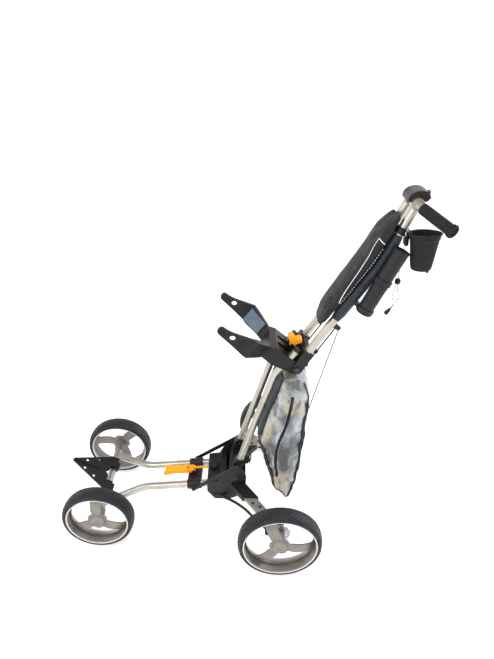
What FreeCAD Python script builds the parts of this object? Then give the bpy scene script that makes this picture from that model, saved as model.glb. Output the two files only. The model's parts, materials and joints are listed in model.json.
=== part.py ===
import FreeCAD, Part
import math
import os
import re

import Sketcher

Vector = FreeCAD.Vector
Rotation = FreeCAD.Rotation
Placement = FreeCAD.Placement

# A folding four-wheel golf push cart. +Z is up, -Y is forwards and +X is the cart's left. Sizes are in mm.
# Heights are measured from the ground and lengths along Y from the rear axle, rearwards positive.
# rear_axle_y then shifts the whole cart, so that the origin is below the middle of its length.
SIZES = [
    # wheels
    ("rear_axle_y", 145.0, "shift that centres the cart's length on the origin"),
    ("rear_wheel_radius", 127.0, "outer radius of a rear tyre"),
    ("rear_wheel_width", 52.0, "width of a rear tyre"),
    ("rear_track_half", 281.0, "middle of a rear wheel from the cart's centre plane"),
    ("front_wheel_radius", 113.0, "outer radius of a front tyre"),
    ("front_wheel_width", 50.0, "width of a front tyre"),
    ("front_track_half", 171.0, "middle of a front wheel from the centre plane"),
    ("front_axle_y", -582.0, "front axle from the rear axle"),
    ("tyre_thickness", 14.0, "rubber outside the rim"),
    ("rim_wall", 4.0, "wall of the rim and thickness of its dished web"),
    ("web_dish", 22.0, "how far the web bulges from the rim to the hub"),
    ("hub_radius", 25.0, "hub of a wheel, outer side"),
    ("boss_radius", 16.0, "hub of a wheel, inner side"),
    ("boss_proud", 4.0, "inner boss past the tyre's inner side"),
    ("spoke_half_width", 17.0, "half the width of one of the broad spokes"),
    ("window_corner", 9.0, "corner radius of the windows between spokes"),
    ("axle_radius", 6.0, "axle pins"),
    ("running_clearance", 0.05, "radial clearance of a turning fit"),
    ("side_clearance", 0.4, "side gap between parts that turn on each other"),
    ("disc_radius", 35.0, "brake disc"),
    ("disc_thickness", 4.0, "brake disc"),
    ("disc_hole_radius", 3.0, "holes near the brake disc's edge"),
    # front frame
    ("axle_tube_radius", 12.5, "front cross tube"),
    ("front_tube_radius", 12.0, "front frame tubes"),
    ("tube_wall", 1.8, "wall of the frame tubes"),
    ("tube_offset", 50.0, "middle of the straight frame tubes from the centre plane"),
    ("front_tube_spread", 113.0, "where the front tubes meet the cross tube"),
    ("front_tube_bend_at", 130.0, "from the cross tube back to the bend of the front tubes"),
    ("front_tube_length", 390.0, "from the cross tube back to the tubes' rear ends"),
    ("front_tube_bend", 110.0, "bend radius of the front tubes"),
    ("front_rise", 4.4, "slope of the front tubes, degrees"),
    # lower bag cradle
    ("cradle_tilt", 29.5, "slope of the cradle plate, degrees"),
    ("cradle_length", 150.0, "cradle plate from the cross tube to its tip"),
    ("cradle_half_width", 76.0, "cradle plate at its rear"),
    ("cradle_thickness", 5.0, "cradle plate"),
    ("cradle_lift", 18.0, "underside of the cradle plate above the cross tube's axis"),
    ("cradle_clamp_at", 50.0, "middle of a cradle clamp from the centre plane"),
    # slide yoke and hub
    ("yoke_at", 280.0, "front face of the slide yoke from the cross tube"),
    ("yoke_length", 46.0, "slide yoke along the tubes"),
    ("socket_radius", 17.0, "round sockets of the yoke"),
    ("slide_clearance", 0.3, "radial clearance of the yoke on the tubes"),
    ("cheek_outer", 71.0, "outer face of the hub's side cheeks"),
    ("cheek_inner", 65.2, "inner face of the hub's side cheeks"),
    ("hub_front_y", -235.0, "front face of the hub"),
    ("bay_front_y", -172.0, "front wall of the bay for the mast foot"),
    ("bay_floor_z", 114.0, "floor of the bay for the mast foot"),
    ("hub_bottom_z", 88.0, "underside of the hub"),
    ("mast_pivot_y", -140.0, "mast pivot"),
    ("mast_pivot_z", 180.0, "mast pivot"),
    ("pivot_pin_radius", 6.0, "mast pivot pin"),
    # mast foot and lower mast
    ("mast_lean", 17.5, "lean of the lower mast from upright, degrees"),
    ("mast_axis_back", -4.5, "mast tubes' axis from the pivot, along Y"),
    ("foot_half_width", 64.5, "half the width of the mast foot"),
    ("foot_radius", 22.0, "round lower end of the mast foot"),
    ("foot_height", 74.0, "mast foot above the pivot, along the mast"),
    ("foot_half_depth", 15.5, "half the depth of the mast foot's sockets"),
    ("mast_tube_radius", 11.0, "lower mast tubes"),
    ("mast_tube_start", 18.0, "lower end of the mast tubes, along the mast from the pivot"),
    ("mast_bend_y", -17.0, "bend of the lower mast tubes"),
    ("mast_bend_z", 585.0, "bend of the lower mast tubes"),
    ("mast_end_y", 46.0, "upper end of the lower mast tubes"),
    ("mast_end_z", 668.0, "upper end of the lower mast tubes"),
    ("mast_bend", 60.0, "bend radius of the lower mast tubes"),
    ("cap_length", 9.0, "end caps of the lower mast tubes"),
    # struts
    ("strut_high", 62.0, "upper strut pivot above the mast pivot, along the mast"),
    ("strut_low", 302.0, "lower strut pivot from the cross tube, along the front tubes"),
    ("strut_half_width", 6.0, "half the width of a strut"),
    ("strut_thickness", 5.0, "thickness of a strut"),
    ("strut_inner", 72.0, "inner face of a strut"),
    ("strut_pin_radius", 4.0, "strut pins"),
    # rear legs
    ("leg_start_y", -150.0, "line of a rear leg at leg_start_x"),
    ("leg_start_x", 45.0, "line of a rear leg"),
    ("leg_start_z", 150.0, "line of a rear leg at leg_start_x"),
    ("leg_slope", 6.7, "fall of a rear leg, degrees"),
    ("leg_sweep", 0.769, "rearward run of a rear leg for each mm outwards"),
    ("leg_half_width", 20.8, "half the width of a rear leg, along Y"),
    ("leg_thickness", 9.0, "thickness of a rear leg"),
    ("block_inner", 214.0, "inner face of an axle block, from the centre plane"),
    ("block_outer", 240.0, "outer face of an axle block, from the centre plane"),
    ("cover_end_x", 125.0, "outer end of a knee cover"),
    ("cover_wall", 5.0, "knee cover outside the leg"),
    # bag bracket
    ("arm_tilt", 38.0, "rise of the bracket arms, degrees"),
    ("arm_root_y", -44.0, "middle of the arms' root"),
    ("arm_root_z", 673.0, "middle of the arms' root"),
    ("root_down", 21.0, "bracket below the middle of the root"),
    ("root_up", 22.0, "bracket above the middle of the root"),
    ("arm_length", 175.0, "length of a bracket arm"),
    ("arm_reach", 103.0, "inner face of an arm's end from the centre plane"),
    ("arm_thickness", 8.0, "thickness of an arm"),
    ("arm_half_depth", 32.0, "half the depth of an arm at its widest"),
    ("arm_tip_radius", 12.5, "rounded end of an arm"),
    ("bracket_half_width", 62.0, "half the width of the bracket"),
    ("pad_thickness", 3.0, "pads on the arms' inner faces"),
    # upper mast
    ("hinge_y", 49.0, "hinge between the lower and the upper mast"),
    ("hinge_z", 613.0, "hinge between the lower and the upper mast"),
    ("hinge_pin_radius", 5.0, "pin of that hinge"),
    ("hinge_barrel_radius", 14.5, "barrels of that hinge"),
    ("knuckle_half_width", 34.0, "half the width of the bracket's hinge barrel"),
    ("upper_yoke_length", 65.0, "upper yoke from the hinge, along the tubes"),
    ("upper_yoke_lean", 60.5, "rise of the upper yoke, degrees"),
    ("collar_radius", 15.5, "collars of the upper yoke"),
    ("upper_offset", 52.0, "upper tubes from the centre plane, at the upper yoke"),
    ("upper_taper", 2.57, "how the upper tubes lean towards each other, degrees"),
    ("upper_tube_radius", 12.5, "upper tubes"),
    ("upper_start_y", 61.0, "lower end of the upper tubes"),
    ("upper_start_z", 633.0, "lower end of the upper tubes"),
    ("upper_first_y", 108.0, "first bend of the upper tubes"),
    ("upper_first_z", 709.0, "first bend of the upper tubes"),
    ("upper_second_y", 262.0, "second bend of the upper tubes"),
    ("upper_second_z", 934.0, "second bend of the upper tubes"),
    ("upper_bend", 260.0, "bend radius of the upper tubes"),
    # handle
    ("handle_y", 338.0, "axis that the handle tilts about"),
    ("handle_z", 1099.0, "axis that the handle tilts about"),
    ("handle_bar_radius", 11.0, "bar of the handle"),
    ("eye_radius", 17.0, "eyes on top of the upper tubes"),
    ("eye_width", 26.0, "eyes on top of the upper tubes"),
    ("handle_droop", 29.6, "how far the grips point down, degrees"),
    ("handle_sweep", 31.0, "how far the grips are swept back, degrees"),
    ("handle_straight", 50.5, "half the straight middle of the handle bar"),
    ("handle_bend", 22.0, "bend radius of the handle bar"),
    ("grip_length", 112.0, "grips"),
    ("grip_radius", 15.0, "grips"),
    ("grip_gap", 7.0, "bend of the bar to the inner end of a grip"),
    # attachments
    ("umbrella_radius", 21.5, "umbrella tube, outside"),
    ("umbrella_wall", 2.5, "umbrella tube"),
    ("umbrella_length", 200.0, "umbrella tube"),
    ("umbrella_x", 73.5, "umbrella tube from the centre plane"),
    ("umbrella_y", 222.0, "lower end of the umbrella tube"),
    ("umbrella_z", 808.0, "lower end of the umbrella tube"),
    ("umbrella_lean", 24.5, "lean of the umbrella tube from upright, degrees"),
    ("console_half_width", 59.0, "half the width of the console pouch"),
    ("console_gap", 15.0, "back of the console pouch in front of the tubes' axis"),
    ("mesh_bag_x", 66.0, "middle of the mesh bag"),
    ("mesh_bag_y", 364.0, "middle of the mesh bag's floor"),
    ("mesh_bag_z", 931.0, "underside of the mesh bag"),
    ("mesh_bag_height", 104.0, "height of the mesh bag"),
    ("mesh_bag_radius", 29.0, "round ends of the mesh bag's mouth"),
    ("mesh_bag_half_length", 45.0, "half the length of the mesh bag's mouth"),
    ("mesh_bag_wall", 2.5, "wall of the mesh bag"),
    ("storage_half_width", 86.0, "half the width of the storage bag"),
    ("cable_radius", 1.6, "brake cable"),
    ("housing_radius", 2.2, "cable housings along the upper tubes"),
    ("band_radius", 4.5, "cable sleeves below the rear legs"),
    ("drawstring_radius", 0.9, "drawstring of the mesh bag"),
]
NAMES = {alias for alias, value, meaning in SIZES}

doc = FreeCAD.newDocument("GolfPushCart")
sheet = doc.addObject("Spreadsheet::Sheet", "Sheet")
for row, (alias, value, meaning) in enumerate(SIZES, start=1):
    sheet.set(f"A{row}", str(value))
    sheet.setAlias(f"A{row}", alias)
    sheet.set(f"B{row}", meaning)
doc.recompute()

nodes = []


# ---------------------------------------------------------------- expressions

def bound(text):
    """Turns 'tube_offset + 3' into the expression 'Sheet.tube_offset + 3'."""
    return re.sub(r"[a-z][a-z0-9_]*", lambda word: f"Sheet.{word[0]}" if word[0] in NAMES else word[0], str(text))


def number(text):
    """The value that an expression has now."""
    result = sheet.evalExpression(bound(text))
    return float(getattr(result, "Value", result))


# ---------------------------------------------------------------- sketches

def origin_feature(body, role):
    return next(feature for feature in body.Origin.OriginFeatures if feature.Role == role)


def new_body(label, at=("0", "0", "0"), axis=None, angle="0"):
    """A body whose frame stands at a point given from the rear axle, turned about one axis."""
    body = doc.addObject("PartDesign::Body", label)
    body.Label = label
    body.AllowCompound = True
    x, y, z = at
    turn = Rotation(axis, number(angle)) if axis else Rotation()
    body.Placement = Placement(Vector(number(x), number(f"rear_axle_y + {y}"), number(z)), turn)
    body.setExpression("Placement.Base.x", bound(x))
    body.setExpression("Placement.Base.y", bound(f"rear_axle_y + {y}"))
    body.setExpression("Placement.Base.z", bound(z))
    if axis:
        body.setExpression("Placement.Rotation.Angle", bound(angle))
    return body


def new_sketch(body, name, plane, offset="0", lean="0"):
    """A sketch on one of the body's origin planes, moved along its normal and leaned about its own x axis."""
    sketch = body.newObject("Sketcher::SketchObject", name)
    sketch.AttachmentSupport = [(origin_feature(body, plane), "")]
    sketch.MapMode = "FlatFace"
    sketch.AttachmentOffset = Placement(Vector(0, 0, number(offset)), Rotation(Vector(1, 0, 0), number(lean)))
    sketch.setExpression("AttachmentOffset.Base.z", bound(offset))
    return sketch


def pin_point(sketch, geometry, vertex, x, y):
    """Ties one vertex of a sketch to the sheet."""
    for kind, text in (("DistanceX", x), ("DistanceY", y)):
        index = sketch.addConstraint(Sketcher.Constraint(kind, -1, 1, geometry, vertex, number(text)))
        sketch.setExpression(f"Constraints[{index}]", bound(text))


def tie(sketch, text, kind, *where):
    """Adds one dimension whose value comes from the sheet."""
    value = number(text)
    if kind == "Angle":
        value = math.radians(value)
    index = sketch.addConstraint(Sketcher.Constraint(kind, *where, value))
    sketch.setExpression(f"Constraints[{index}]", bound(text))


def arc_between(start, end, radius):
    """The shorter arc from start to end: anticlockwise for a positive radius, clockwise for a negative one."""
    chord = end - start
    size = abs(radius)
    height = math.sqrt(max(size * size - chord.Length ** 2 / 4, 0))
    left = Vector(-chord.y, chord.x, 0).normalize()
    sign = 1 if radius > 0 else -1
    centre = (start + end) * 0.5 + left * (height * sign)
    first, last = (start, end) if radius > 0 else (end, start)
    angles = [math.atan2(p.y - centre.y, p.x - centre.x) for p in (first, last)]
    if angles[1] <= angles[0]:
        angles[1] += 2 * math.pi
    return Part.ArcOfCircle(Part.Circle(centre, Vector(0, 0, 1), size), angles[0], angles[1])


def outline(sketch, points):
    """A closed outline. A point is (x, y), or (x, y, radius) where an arc leads on to the next point."""
    corners = [Vector(number(p[0]), number(p[1]), 0) for p in points]
    ends = []
    first = len(sketch.Geometry)
    for i, point in enumerate(points):
        following = corners[(i + 1) % len(points)]
        if len(point) == 3:
            radius = number(point[2])
            sketch.addGeometry(arc_between(corners[i], following, radius), False)
            ends.append((1, 2) if radius > 0 else (2, 1))
        else:
            sketch.addGeometry(Part.LineSegment(corners[i], following), False)
            ends.append((1, 2))
    for i, point in enumerate(points):
        after = (i + 1) % len(points)
        where = (first + i, ends[i][1], first + after, ends[after][0])
        sketch.addConstraint(Sketcher.Constraint("Coincident", *where))
        pin_point(sketch, first + i, ends[i][0], point[0], point[1])
        if len(point) == 3:
            tie(sketch, f"abs({point[2]})", "Radius", first + i)
    return sketch


def circle(sketch, x, y, radius):
    geometry = sketch.addGeometry(Part.Circle(Vector(number(x), number(y), 0), Vector(0, 0, 1), number(radius)), False)
    pin_point(sketch, geometry, 3, x, y)
    tie(sketch, radius, "Radius", geometry)
    return sketch


def box_outline(sketch, x0, x1, y0, y1):
    return outline(sketch, [(x0, y0), (x1, y0), (x1, y1), (x0, y1)])


def bent_path(sketch, points, radius):
    """An open path of straight runs joined by tangent arcs of one radius."""
    corners = [Vector(number(x), number(y), 0) for x, y in points]
    size = number(radius)
    runs = len(corners) - 1
    heads = [corners[0]]
    tails = []
    arcs = []
    for i in range(1, runs):
        back = (corners[i - 1] - corners[i]).normalize()
        ahead = (corners[i + 1] - corners[i]).normalize()
        half_turn = (math.pi - back.getAngle(ahead)) / 2
        cut = size * math.tan(half_turn)
        tails.append(corners[i] + back * cut)
        heads.append(corners[i] + ahead * cut)
        anticlockwise = (ahead.x * back.y - ahead.y * back.x) > 0
        arcs.append(arc_between(tails[-1], heads[-1], size if anticlockwise else -size))
    tails.append(corners[-1])
    for head, tail in zip(heads, tails):
        sketch.addGeometry(Part.LineSegment(head, tail), False)
    for i, arc in enumerate(arcs):
        geometry = sketch.addGeometry(arc, False)
        start_is_first = (arc.StartPoint - tails[i]).Length < (arc.EndPoint - tails[i]).Length
        entry, leave = (1, 2) if start_is_first else (2, 1)
        sketch.addConstraint(Sketcher.Constraint("Tangent", i, 2, geometry, entry))
        sketch.addConstraint(Sketcher.Constraint("Tangent", geometry, leave, i + 1, 1))
        tie(sketch, radius, "Radius", geometry)
        corner = sketch.addGeometry(Part.Point(corners[i + 1]), True)
        pin_point(sketch, corner, 1, *points[i + 1])
        sketch.addConstraint(Sketcher.Constraint("PointOnObject", corner, 1, i))
        sketch.addConstraint(Sketcher.Constraint("PointOnObject", corner, 1, i + 1))
    pin_point(sketch, 0, 1, *points[0])
    pin_point(sketch, runs - 1, 2, *points[-1])
    return sketch


# ---------------------------------------------------------------- features

def settle(feature):
    """Recomputes the document and stops if the feature failed."""
    doc.recompute()
    if {"Invalid", "Error"} & set(feature.State) or feature.Shape.isNull() or not feature.Shape.isValid():
        raise ValueError(f"{feature.Name} failed: {feature.State}")
    return feature


def pad(body, sketch, length, symmetric=True, back=False):
    feature = body.newObject("PartDesign::Pad", "Pad")
    feature.Profile = sketch
    feature.Midplane = symmetric
    feature.Reversed = back
    feature.Length = number(length)
    feature.setExpression("Length", bound(length))
    return settle(feature)


def pocket(body, sketch, length, symmetric=True, back=False):
    before = body.Shape.Volume
    feature = body.newObject("PartDesign::Pocket", "Pocket")
    feature.Profile = sketch
    feature.Midplane = symmetric
    feature.Reversed = back
    feature.Length = number(length)
    feature.setExpression("Length", bound(length))
    settle(feature)
    if body.Shape.Volume > before - 1e-3:
        raise ValueError(f"a pocket cuts nothing in {body.Label}")
    return feature


def revolve(body, sketch, axis=None):
    """Turns a section once round: about an axis of the body, or about the construction line of the sketch."""
    feature = body.newObject("PartDesign::Revolution", "Revolution")
    feature.Profile = sketch
    feature.ReferenceAxis = (origin_feature(body, axis), [""]) if axis else (sketch, ["Axis0"])
    feature.Angle = 360.0
    return settle(feature)


def follow(body, path, radii, kind="PartDesign::AdditivePipe"):
    """Sweeps a circle, or a ring of two radii, along a path sketch."""
    section = body.newObject("Sketcher::SketchObject", f"{path.Name}_section")
    section.AttachmentSupport = [(path, "Edge1")]
    section.MapMode = "NormalToEdge"
    for radius in radii:
        circle(section, "0", "0", radius)
    doc.recompute()
    feature = body.newObject(kind, "Pipe")
    feature.Profile = section
    feature.Spine = path
    return settle(feature)


def turn_copies(body, feature, count, axis):
    pattern = body.newObject("PartDesign::PolarPattern", "Pattern")
    pattern.Originals = [feature]
    pattern.Axis = (origin_feature(body, axis), [""])
    pattern.Angle = 360.0
    pattern.Occurrences = count
    body.Tip = pattern
    return settle(pattern)


def keep(item):
    """Counts a document object as one of the cart's parts."""
    nodes.append(item)
    return item


def group(label, members):
    """Pieces that share one node, such as a pair of identical fittings."""
    compound = doc.addObject("Part::Compound", label)
    compound.Label = label
    compound.Links = members
    doc.recompute()
    return keep(compound)


def cut_away(label, base, tool):
    """The base without the room that the tool takes up."""
    cut = doc.addObject("Part::Cut", label)
    cut.Label = label
    cut.Base = base
    cut.Tool = tool
    return settle(cut)


def cylinder(label, radius, start, end_x):
    """A round bar along X from the point start to the plane x = end_x."""
    bar = doc.addObject("Part::Cylinder", label)
    bar.Label = label
    x, y, z = start
    bar.Placement = Placement(
        Vector(number(x), number(f"rear_axle_y + {y}"), number(z)), Rotation(Vector(0, 1, 0), 90))
    bar.setExpression("Placement.Base.x", bound(x))
    bar.setExpression("Placement.Base.y", bound(f"rear_axle_y + {y}"))
    bar.setExpression("Placement.Base.z", bound(z))
    bar.setExpression("Radius", bound(radius))
    bar.setExpression("Height", bound(f"{end_x} - ({x})"))
    doc.recompute()
    return bar


SIDES = (("left", 1), ("right", -1))
X_AXIS, Y_AXIS, Z_AXIS = Vector(1, 0, 0), Vector(0, 1, 0), Vector(0, 0, 1)
FRONT_FRAME = dict(at=("0", "front_axle_y", "front_wheel_radius"), axis=X_AXIS, angle="front_rise")


# ---------------------------------------------------------------- wheels

def wheel_body(label, place, side):
    """A body on a wheel's centre, its local +X pointing away from the cart."""
    track, axle_y, radius = place
    return new_body(label, at=(f"{side} * {track}", axle_y, radius), axis=Z_AXIS, angle="180" if side < 0 else "0")


def make_tyre(label, place, side, width):
    radius = place[2]
    body = wheel_body(label, place, side)
    half = f"{width} / 2"
    crown = "3"
    section = new_sketch(body, f"{label}_section", "XY_Plane")
    outline(section, [
        (f"-({half})", f"{radius} - tyre_thickness"),
        (f"{half}", f"{radius} - tyre_thickness"),
        (f"{half}", f"{radius} - 7", "9"),
        (f"{half} - 7", f"{radius} - 1.2", "60"),
        (f"-({half}) + 7", f"{radius} - 1.2", "9"),
        (f"-({half})", f"{radius} - 7"),
    ])
    revolve(body, section, "X_Axis")
    return keep(body)


def make_wheel(label, place, side, width, spin):
    """A dished wheel: a wide rim, a web that bulges outwards, three broad spokes and a long inner boss."""
    radius = place[2]
    body = wheel_body(label, place, side)
    half = f"{width} / 2"
    rim = f"({radius} - tyre_thickness)"
    inside = f"({rim} - rim_wall)"
    web_rim = "(-6)"
    web_hub = f"({web_rim} + web_dish)"
    section = new_sketch(body, f"{label}_section", "XY_Plane")
    bulge = f"({inside} * 0.95)"
    outline(section, [
        (f"{web_hub} + 3", "0"),
        (f"{web_hub} + 3", "axle_radius + running_clearance"),
        (f"-({half}) - boss_proud", "axle_radius + running_clearance"),
        (f"-({half}) - boss_proud", "boss_radius"),
        (f"{web_hub} - rim_wall", "boss_radius + 2"),
        (f"{web_hub} - rim_wall", "hub_radius", bulge),
        (f"{web_rim} - rim_wall", inside),
        (f"-({half})", f"{rim} - 2.5"),
        (f"-({half})", rim),
        (half, rim),
        (half, f"{rim} - 2.5"),
        (f"{half} - 3", f"{inside} - 1.5"),
        (web_rim, inside, f"-{bulge}"),
        (web_hub, "hub_radius"),
        (f"{web_hub} + 5", "hub_radius - 3"),
        (f"{web_hub} + 6", "hub_radius - 7"),
        (f"{web_hub} + 6", "0"),
    ])
    revolve(body, section, "X_Axis")
    window = new_sketch(body, f"{label}_window", "YZ_Plane")
    window_outline(window, "hub_radius + 8", f"{inside} - 7", spin)
    cut = pocket(body, window, f"2 * {width}")
    turn_copies(body, cut, 3, "X_Axis")
    mark = new_sketch(body, f"{label}_mark", "YZ_Plane", offset=f"{web_hub} + 6")
    outline(mark, [("-7", "-3", "9"), ("7", "-3"), ("7", "-6", "-12"), ("-7", "-6")])
    pocket(body, mark, "1.2", symmetric=False)
    return keep(body)


def window_outline(sketch, inner, outer, spin):
    """The opening between two spokes: two arcs about the axle, two sides along the spokes and round corners."""
    half, corner = number("spoke_half_width"), number("window_corner")
    small, large = number(inner), number(outer)
    spokes = [math.radians(number(spin) + turn) for turn in (0, 120)]

    def beside(spoke, sign, distance):
        side = half * sign
        return (distance * math.cos(spoke) - side * math.sin(spoke), distance * math.sin(spoke) + side * math.cos(spoke))

    def on_arc(spoke, sign, radius):
        angle = spoke + sign * (math.asin(half / radius) + corner / radius)
        return radius * math.cos(angle), radius * math.sin(angle)

    def foot(radius):
        return math.sqrt(radius * radius - half * half)

    points = [
        (*beside(spokes[0], 1, foot(small) + corner),),
        (*beside(spokes[0], 1, foot(large) - corner), corner),
        (*on_arc(spokes[0], 1, large), large),
        (*on_arc(spokes[1], -1, large), corner),
        (*beside(spokes[1], -1, foot(large) - corner),),
        (*beside(spokes[1], -1, foot(small) + corner), corner),
        (*on_arc(spokes[1], -1, small), -small),
        (*on_arc(spokes[0], 1, small), corner),
    ]
    return outline(sketch, [tuple(f"{value:.6f}" for value in point) for point in points])


def make_brake_disc(label, place, side, width):
    body = wheel_body(label, place, side)
    face = f"-({width} / 2 + boss_proud)"
    plate = new_sketch(body, f"{label}_plate", "YZ_Plane", offset=face)
    circle(plate, "0", "0", "disc_radius")
    circle(plate, "0", "0", "axle_radius + 3")
    pad(body, plate, "disc_thickness", symmetric=False, back=True)
    scallop = new_sketch(body, f"{label}_scallop", "YZ_Plane", offset=face)
    circle(scallop, "disc_radius + 2", "0", "disc_hole_radius + 2.5")
    circle(scallop, "disc_radius - 9", "0", "disc_hole_radius")
    cut = pocket(body, scallop, "disc_thickness", symmetric=False)
    turn_copies(body, cut, 12, "X_Axis")
    return keep(body)


REAR = ("rear_track_half", "0", "rear_wheel_radius")
FRONT = ("front_track_half", "front_axle_y", "front_wheel_radius")
SPINS = {("rear", "left"): "-10", ("rear", "right"): "25", ("front", "left"): "90", ("front", "right"): "15"}

for side_name, side in SIDES:
    for end_name, place, width in (("front", FRONT, "front_wheel_width"), ("rear", REAR, "rear_wheel_width")):
        make_tyre(f"{end_name}_tyre_{side_name}", place, side, width)
        make_wheel(f"{end_name}_wheel_{side_name}", place, side, width, SPINS[end_name, side_name])
    make_brake_disc(f"brake_disc_{side_name}", REAR, side, "rear_wheel_width")


# ---------------------------------------------------------------- front frame

def side_plane(side, x):
    """The offset along +X of a sketch plane at a distance from the centre plane."""
    return f"{side} * ({x})"


def front_axle():
    tube = new_body("front_axle_tube", at=("0", "front_axle_y", "front_wheel_radius"))
    ring = new_sketch(tube, "axle_ring", "YZ_Plane")
    circle(ring, "0", "0", "axle_tube_radius")
    circle(ring, "0", "0", "axle_radius")
    pad(tube, ring, "2 * (front_track_half - front_wheel_width / 2 - boss_proud - side_clearance)")
    keep(tube)


def front_tube(side_name, side):
    """A frame tube that runs forwards from the hub, bends outwards and is welded to the cross tube."""
    tube = new_body(f"front_tube_{side_name}", **FRONT_FRAME)
    path = new_sketch(tube, f"front_path_{side_name}", "XY_Plane")
    bent_path(path, [
        (f"{side} * front_tube_spread", "0"),
        (f"{side} * tube_offset", "front_tube_bend_at"),
        (f"{side} * tube_offset", "front_tube_length"),
    ], "front_tube_bend")
    follow(tube, path, ["front_tube_radius", "front_tube_radius - tube_wall"])
    cope = new_sketch(tube, f"front_cope_{side_name}", "YZ_Plane")
    circle(cope, "0", "0", "axle_tube_radius")
    pocket(tube, cope, "4 * front_tube_spread")
    keep(tube)


def cradle():
    """The lower bag rest: an arrowhead plate with four slots, and two clamps on the cross tube."""
    frame = dict(at=("0", "front_axle_y", "front_wheel_radius"), axis=X_AXIS, angle="-cradle_tilt")
    plate = new_body("bag_cradle", **frame)
    shape = new_sketch(plate, "cradle_outline", "XY_Plane", offset="cradle_lift")
    outline(shape, [
        ("-6", "7 - cradle_length", "9"),
        ("6", "7 - cradle_length"),
        ("cradle_half_width - 6", "-26", "9"),
        ("cradle_half_width", "-14"),
        ("cradle_half_width", "8"),
        ("cradle_clamp_at - 17", "8"),
        ("cradle_clamp_at - 17", "-16", "24"),
        ("0", "-46", "24"),
        ("17 - cradle_clamp_at", "-16"),
        ("17 - cradle_clamp_at", "8"),
        ("-cradle_half_width", "8"),
        ("-cradle_half_width", "-14", "9"),
        ("6 - cradle_half_width", "-26"),
    ])
    pad(plate, shape, "cradle_thickness", symmetric=False)
    slots = new_sketch(plate, "cradle_slots", "XY_Plane", offset="cradle_lift")
    for side in (1, -1):
        for x, y in (("18", "-98"), ("37", "-61")):
            outline(slots, [
                (f"{side} * ({x}) - 3", f"{y} - 4"),
                (f"{side} * ({x}) + 3", f"{y} - 4", "4.2"),
                (f"{side} * ({x}) + 3", f"{y} + 4"),
                (f"{side} * ({x}) - 3", f"{y} + 4", "4.2"),
            ])
    pocket(plate, slots, "4 * cradle_thickness")
    spine = new_sketch(plate, "cradle_spine", "YZ_Plane")
    top = "(cradle_lift + cradle_thickness)"
    outline(spine, [("10 - cradle_length", top), ("-46", top), ("-50", f"{top} + 2.5"), ("16 - cradle_length", f"{top} + 2.5")])
    pad(plate, spine, "4")
    for side in (1, -1):
        clamp = new_sketch(plate, f"cradle_clamp_{2 - side}", "YZ_Plane", offset=side_plane(side, "cradle_clamp_at"))
        outline(clamp, [
            ("-17", "cradle_lift + 1"),
            ("-17", "2", "17.5"),
            ("17", "2"),
            ("17", "cradle_lift + 1"),
        ])
        pad(plate, clamp, "26")
    bore = new_sketch(plate, "cradle_bore", "YZ_Plane")
    circle(bore, "0", "0", "axle_tube_radius")
    pocket(plate, bore, "4 * cradle_half_width")
    keep(plate)


# ---------------------------------------------------------------- hub and slide yoke

def tube_bores(body, radius, start, end):
    """Cuts the two straight front tubes out of a body whose frame is the front frame."""
    for side in (1, -1):
        path = new_sketch(body, f"bore_{2 - side}", "XY_Plane")
        bent_path(path, [(f"{side} * tube_offset", start), (f"{side} * tube_offset", end)], "1")
        follow(body, path, [radius], kind="PartDesign::SubtractivePipe")


def in_front_frame(y, z):
    """A point given from the rear axle and the ground, as seen in the tilted front frame."""
    ahead, up = f"({y} - front_axle_y)", f"({z} - front_wheel_radius)"
    return (
        f"{ahead} * cos(front_rise) + {up} * sin(front_rise)",
        f"{up} * cos(front_rise) - {ahead} * sin(front_rise)",
    )


CATCH_SEAT_Z = "20"


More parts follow.
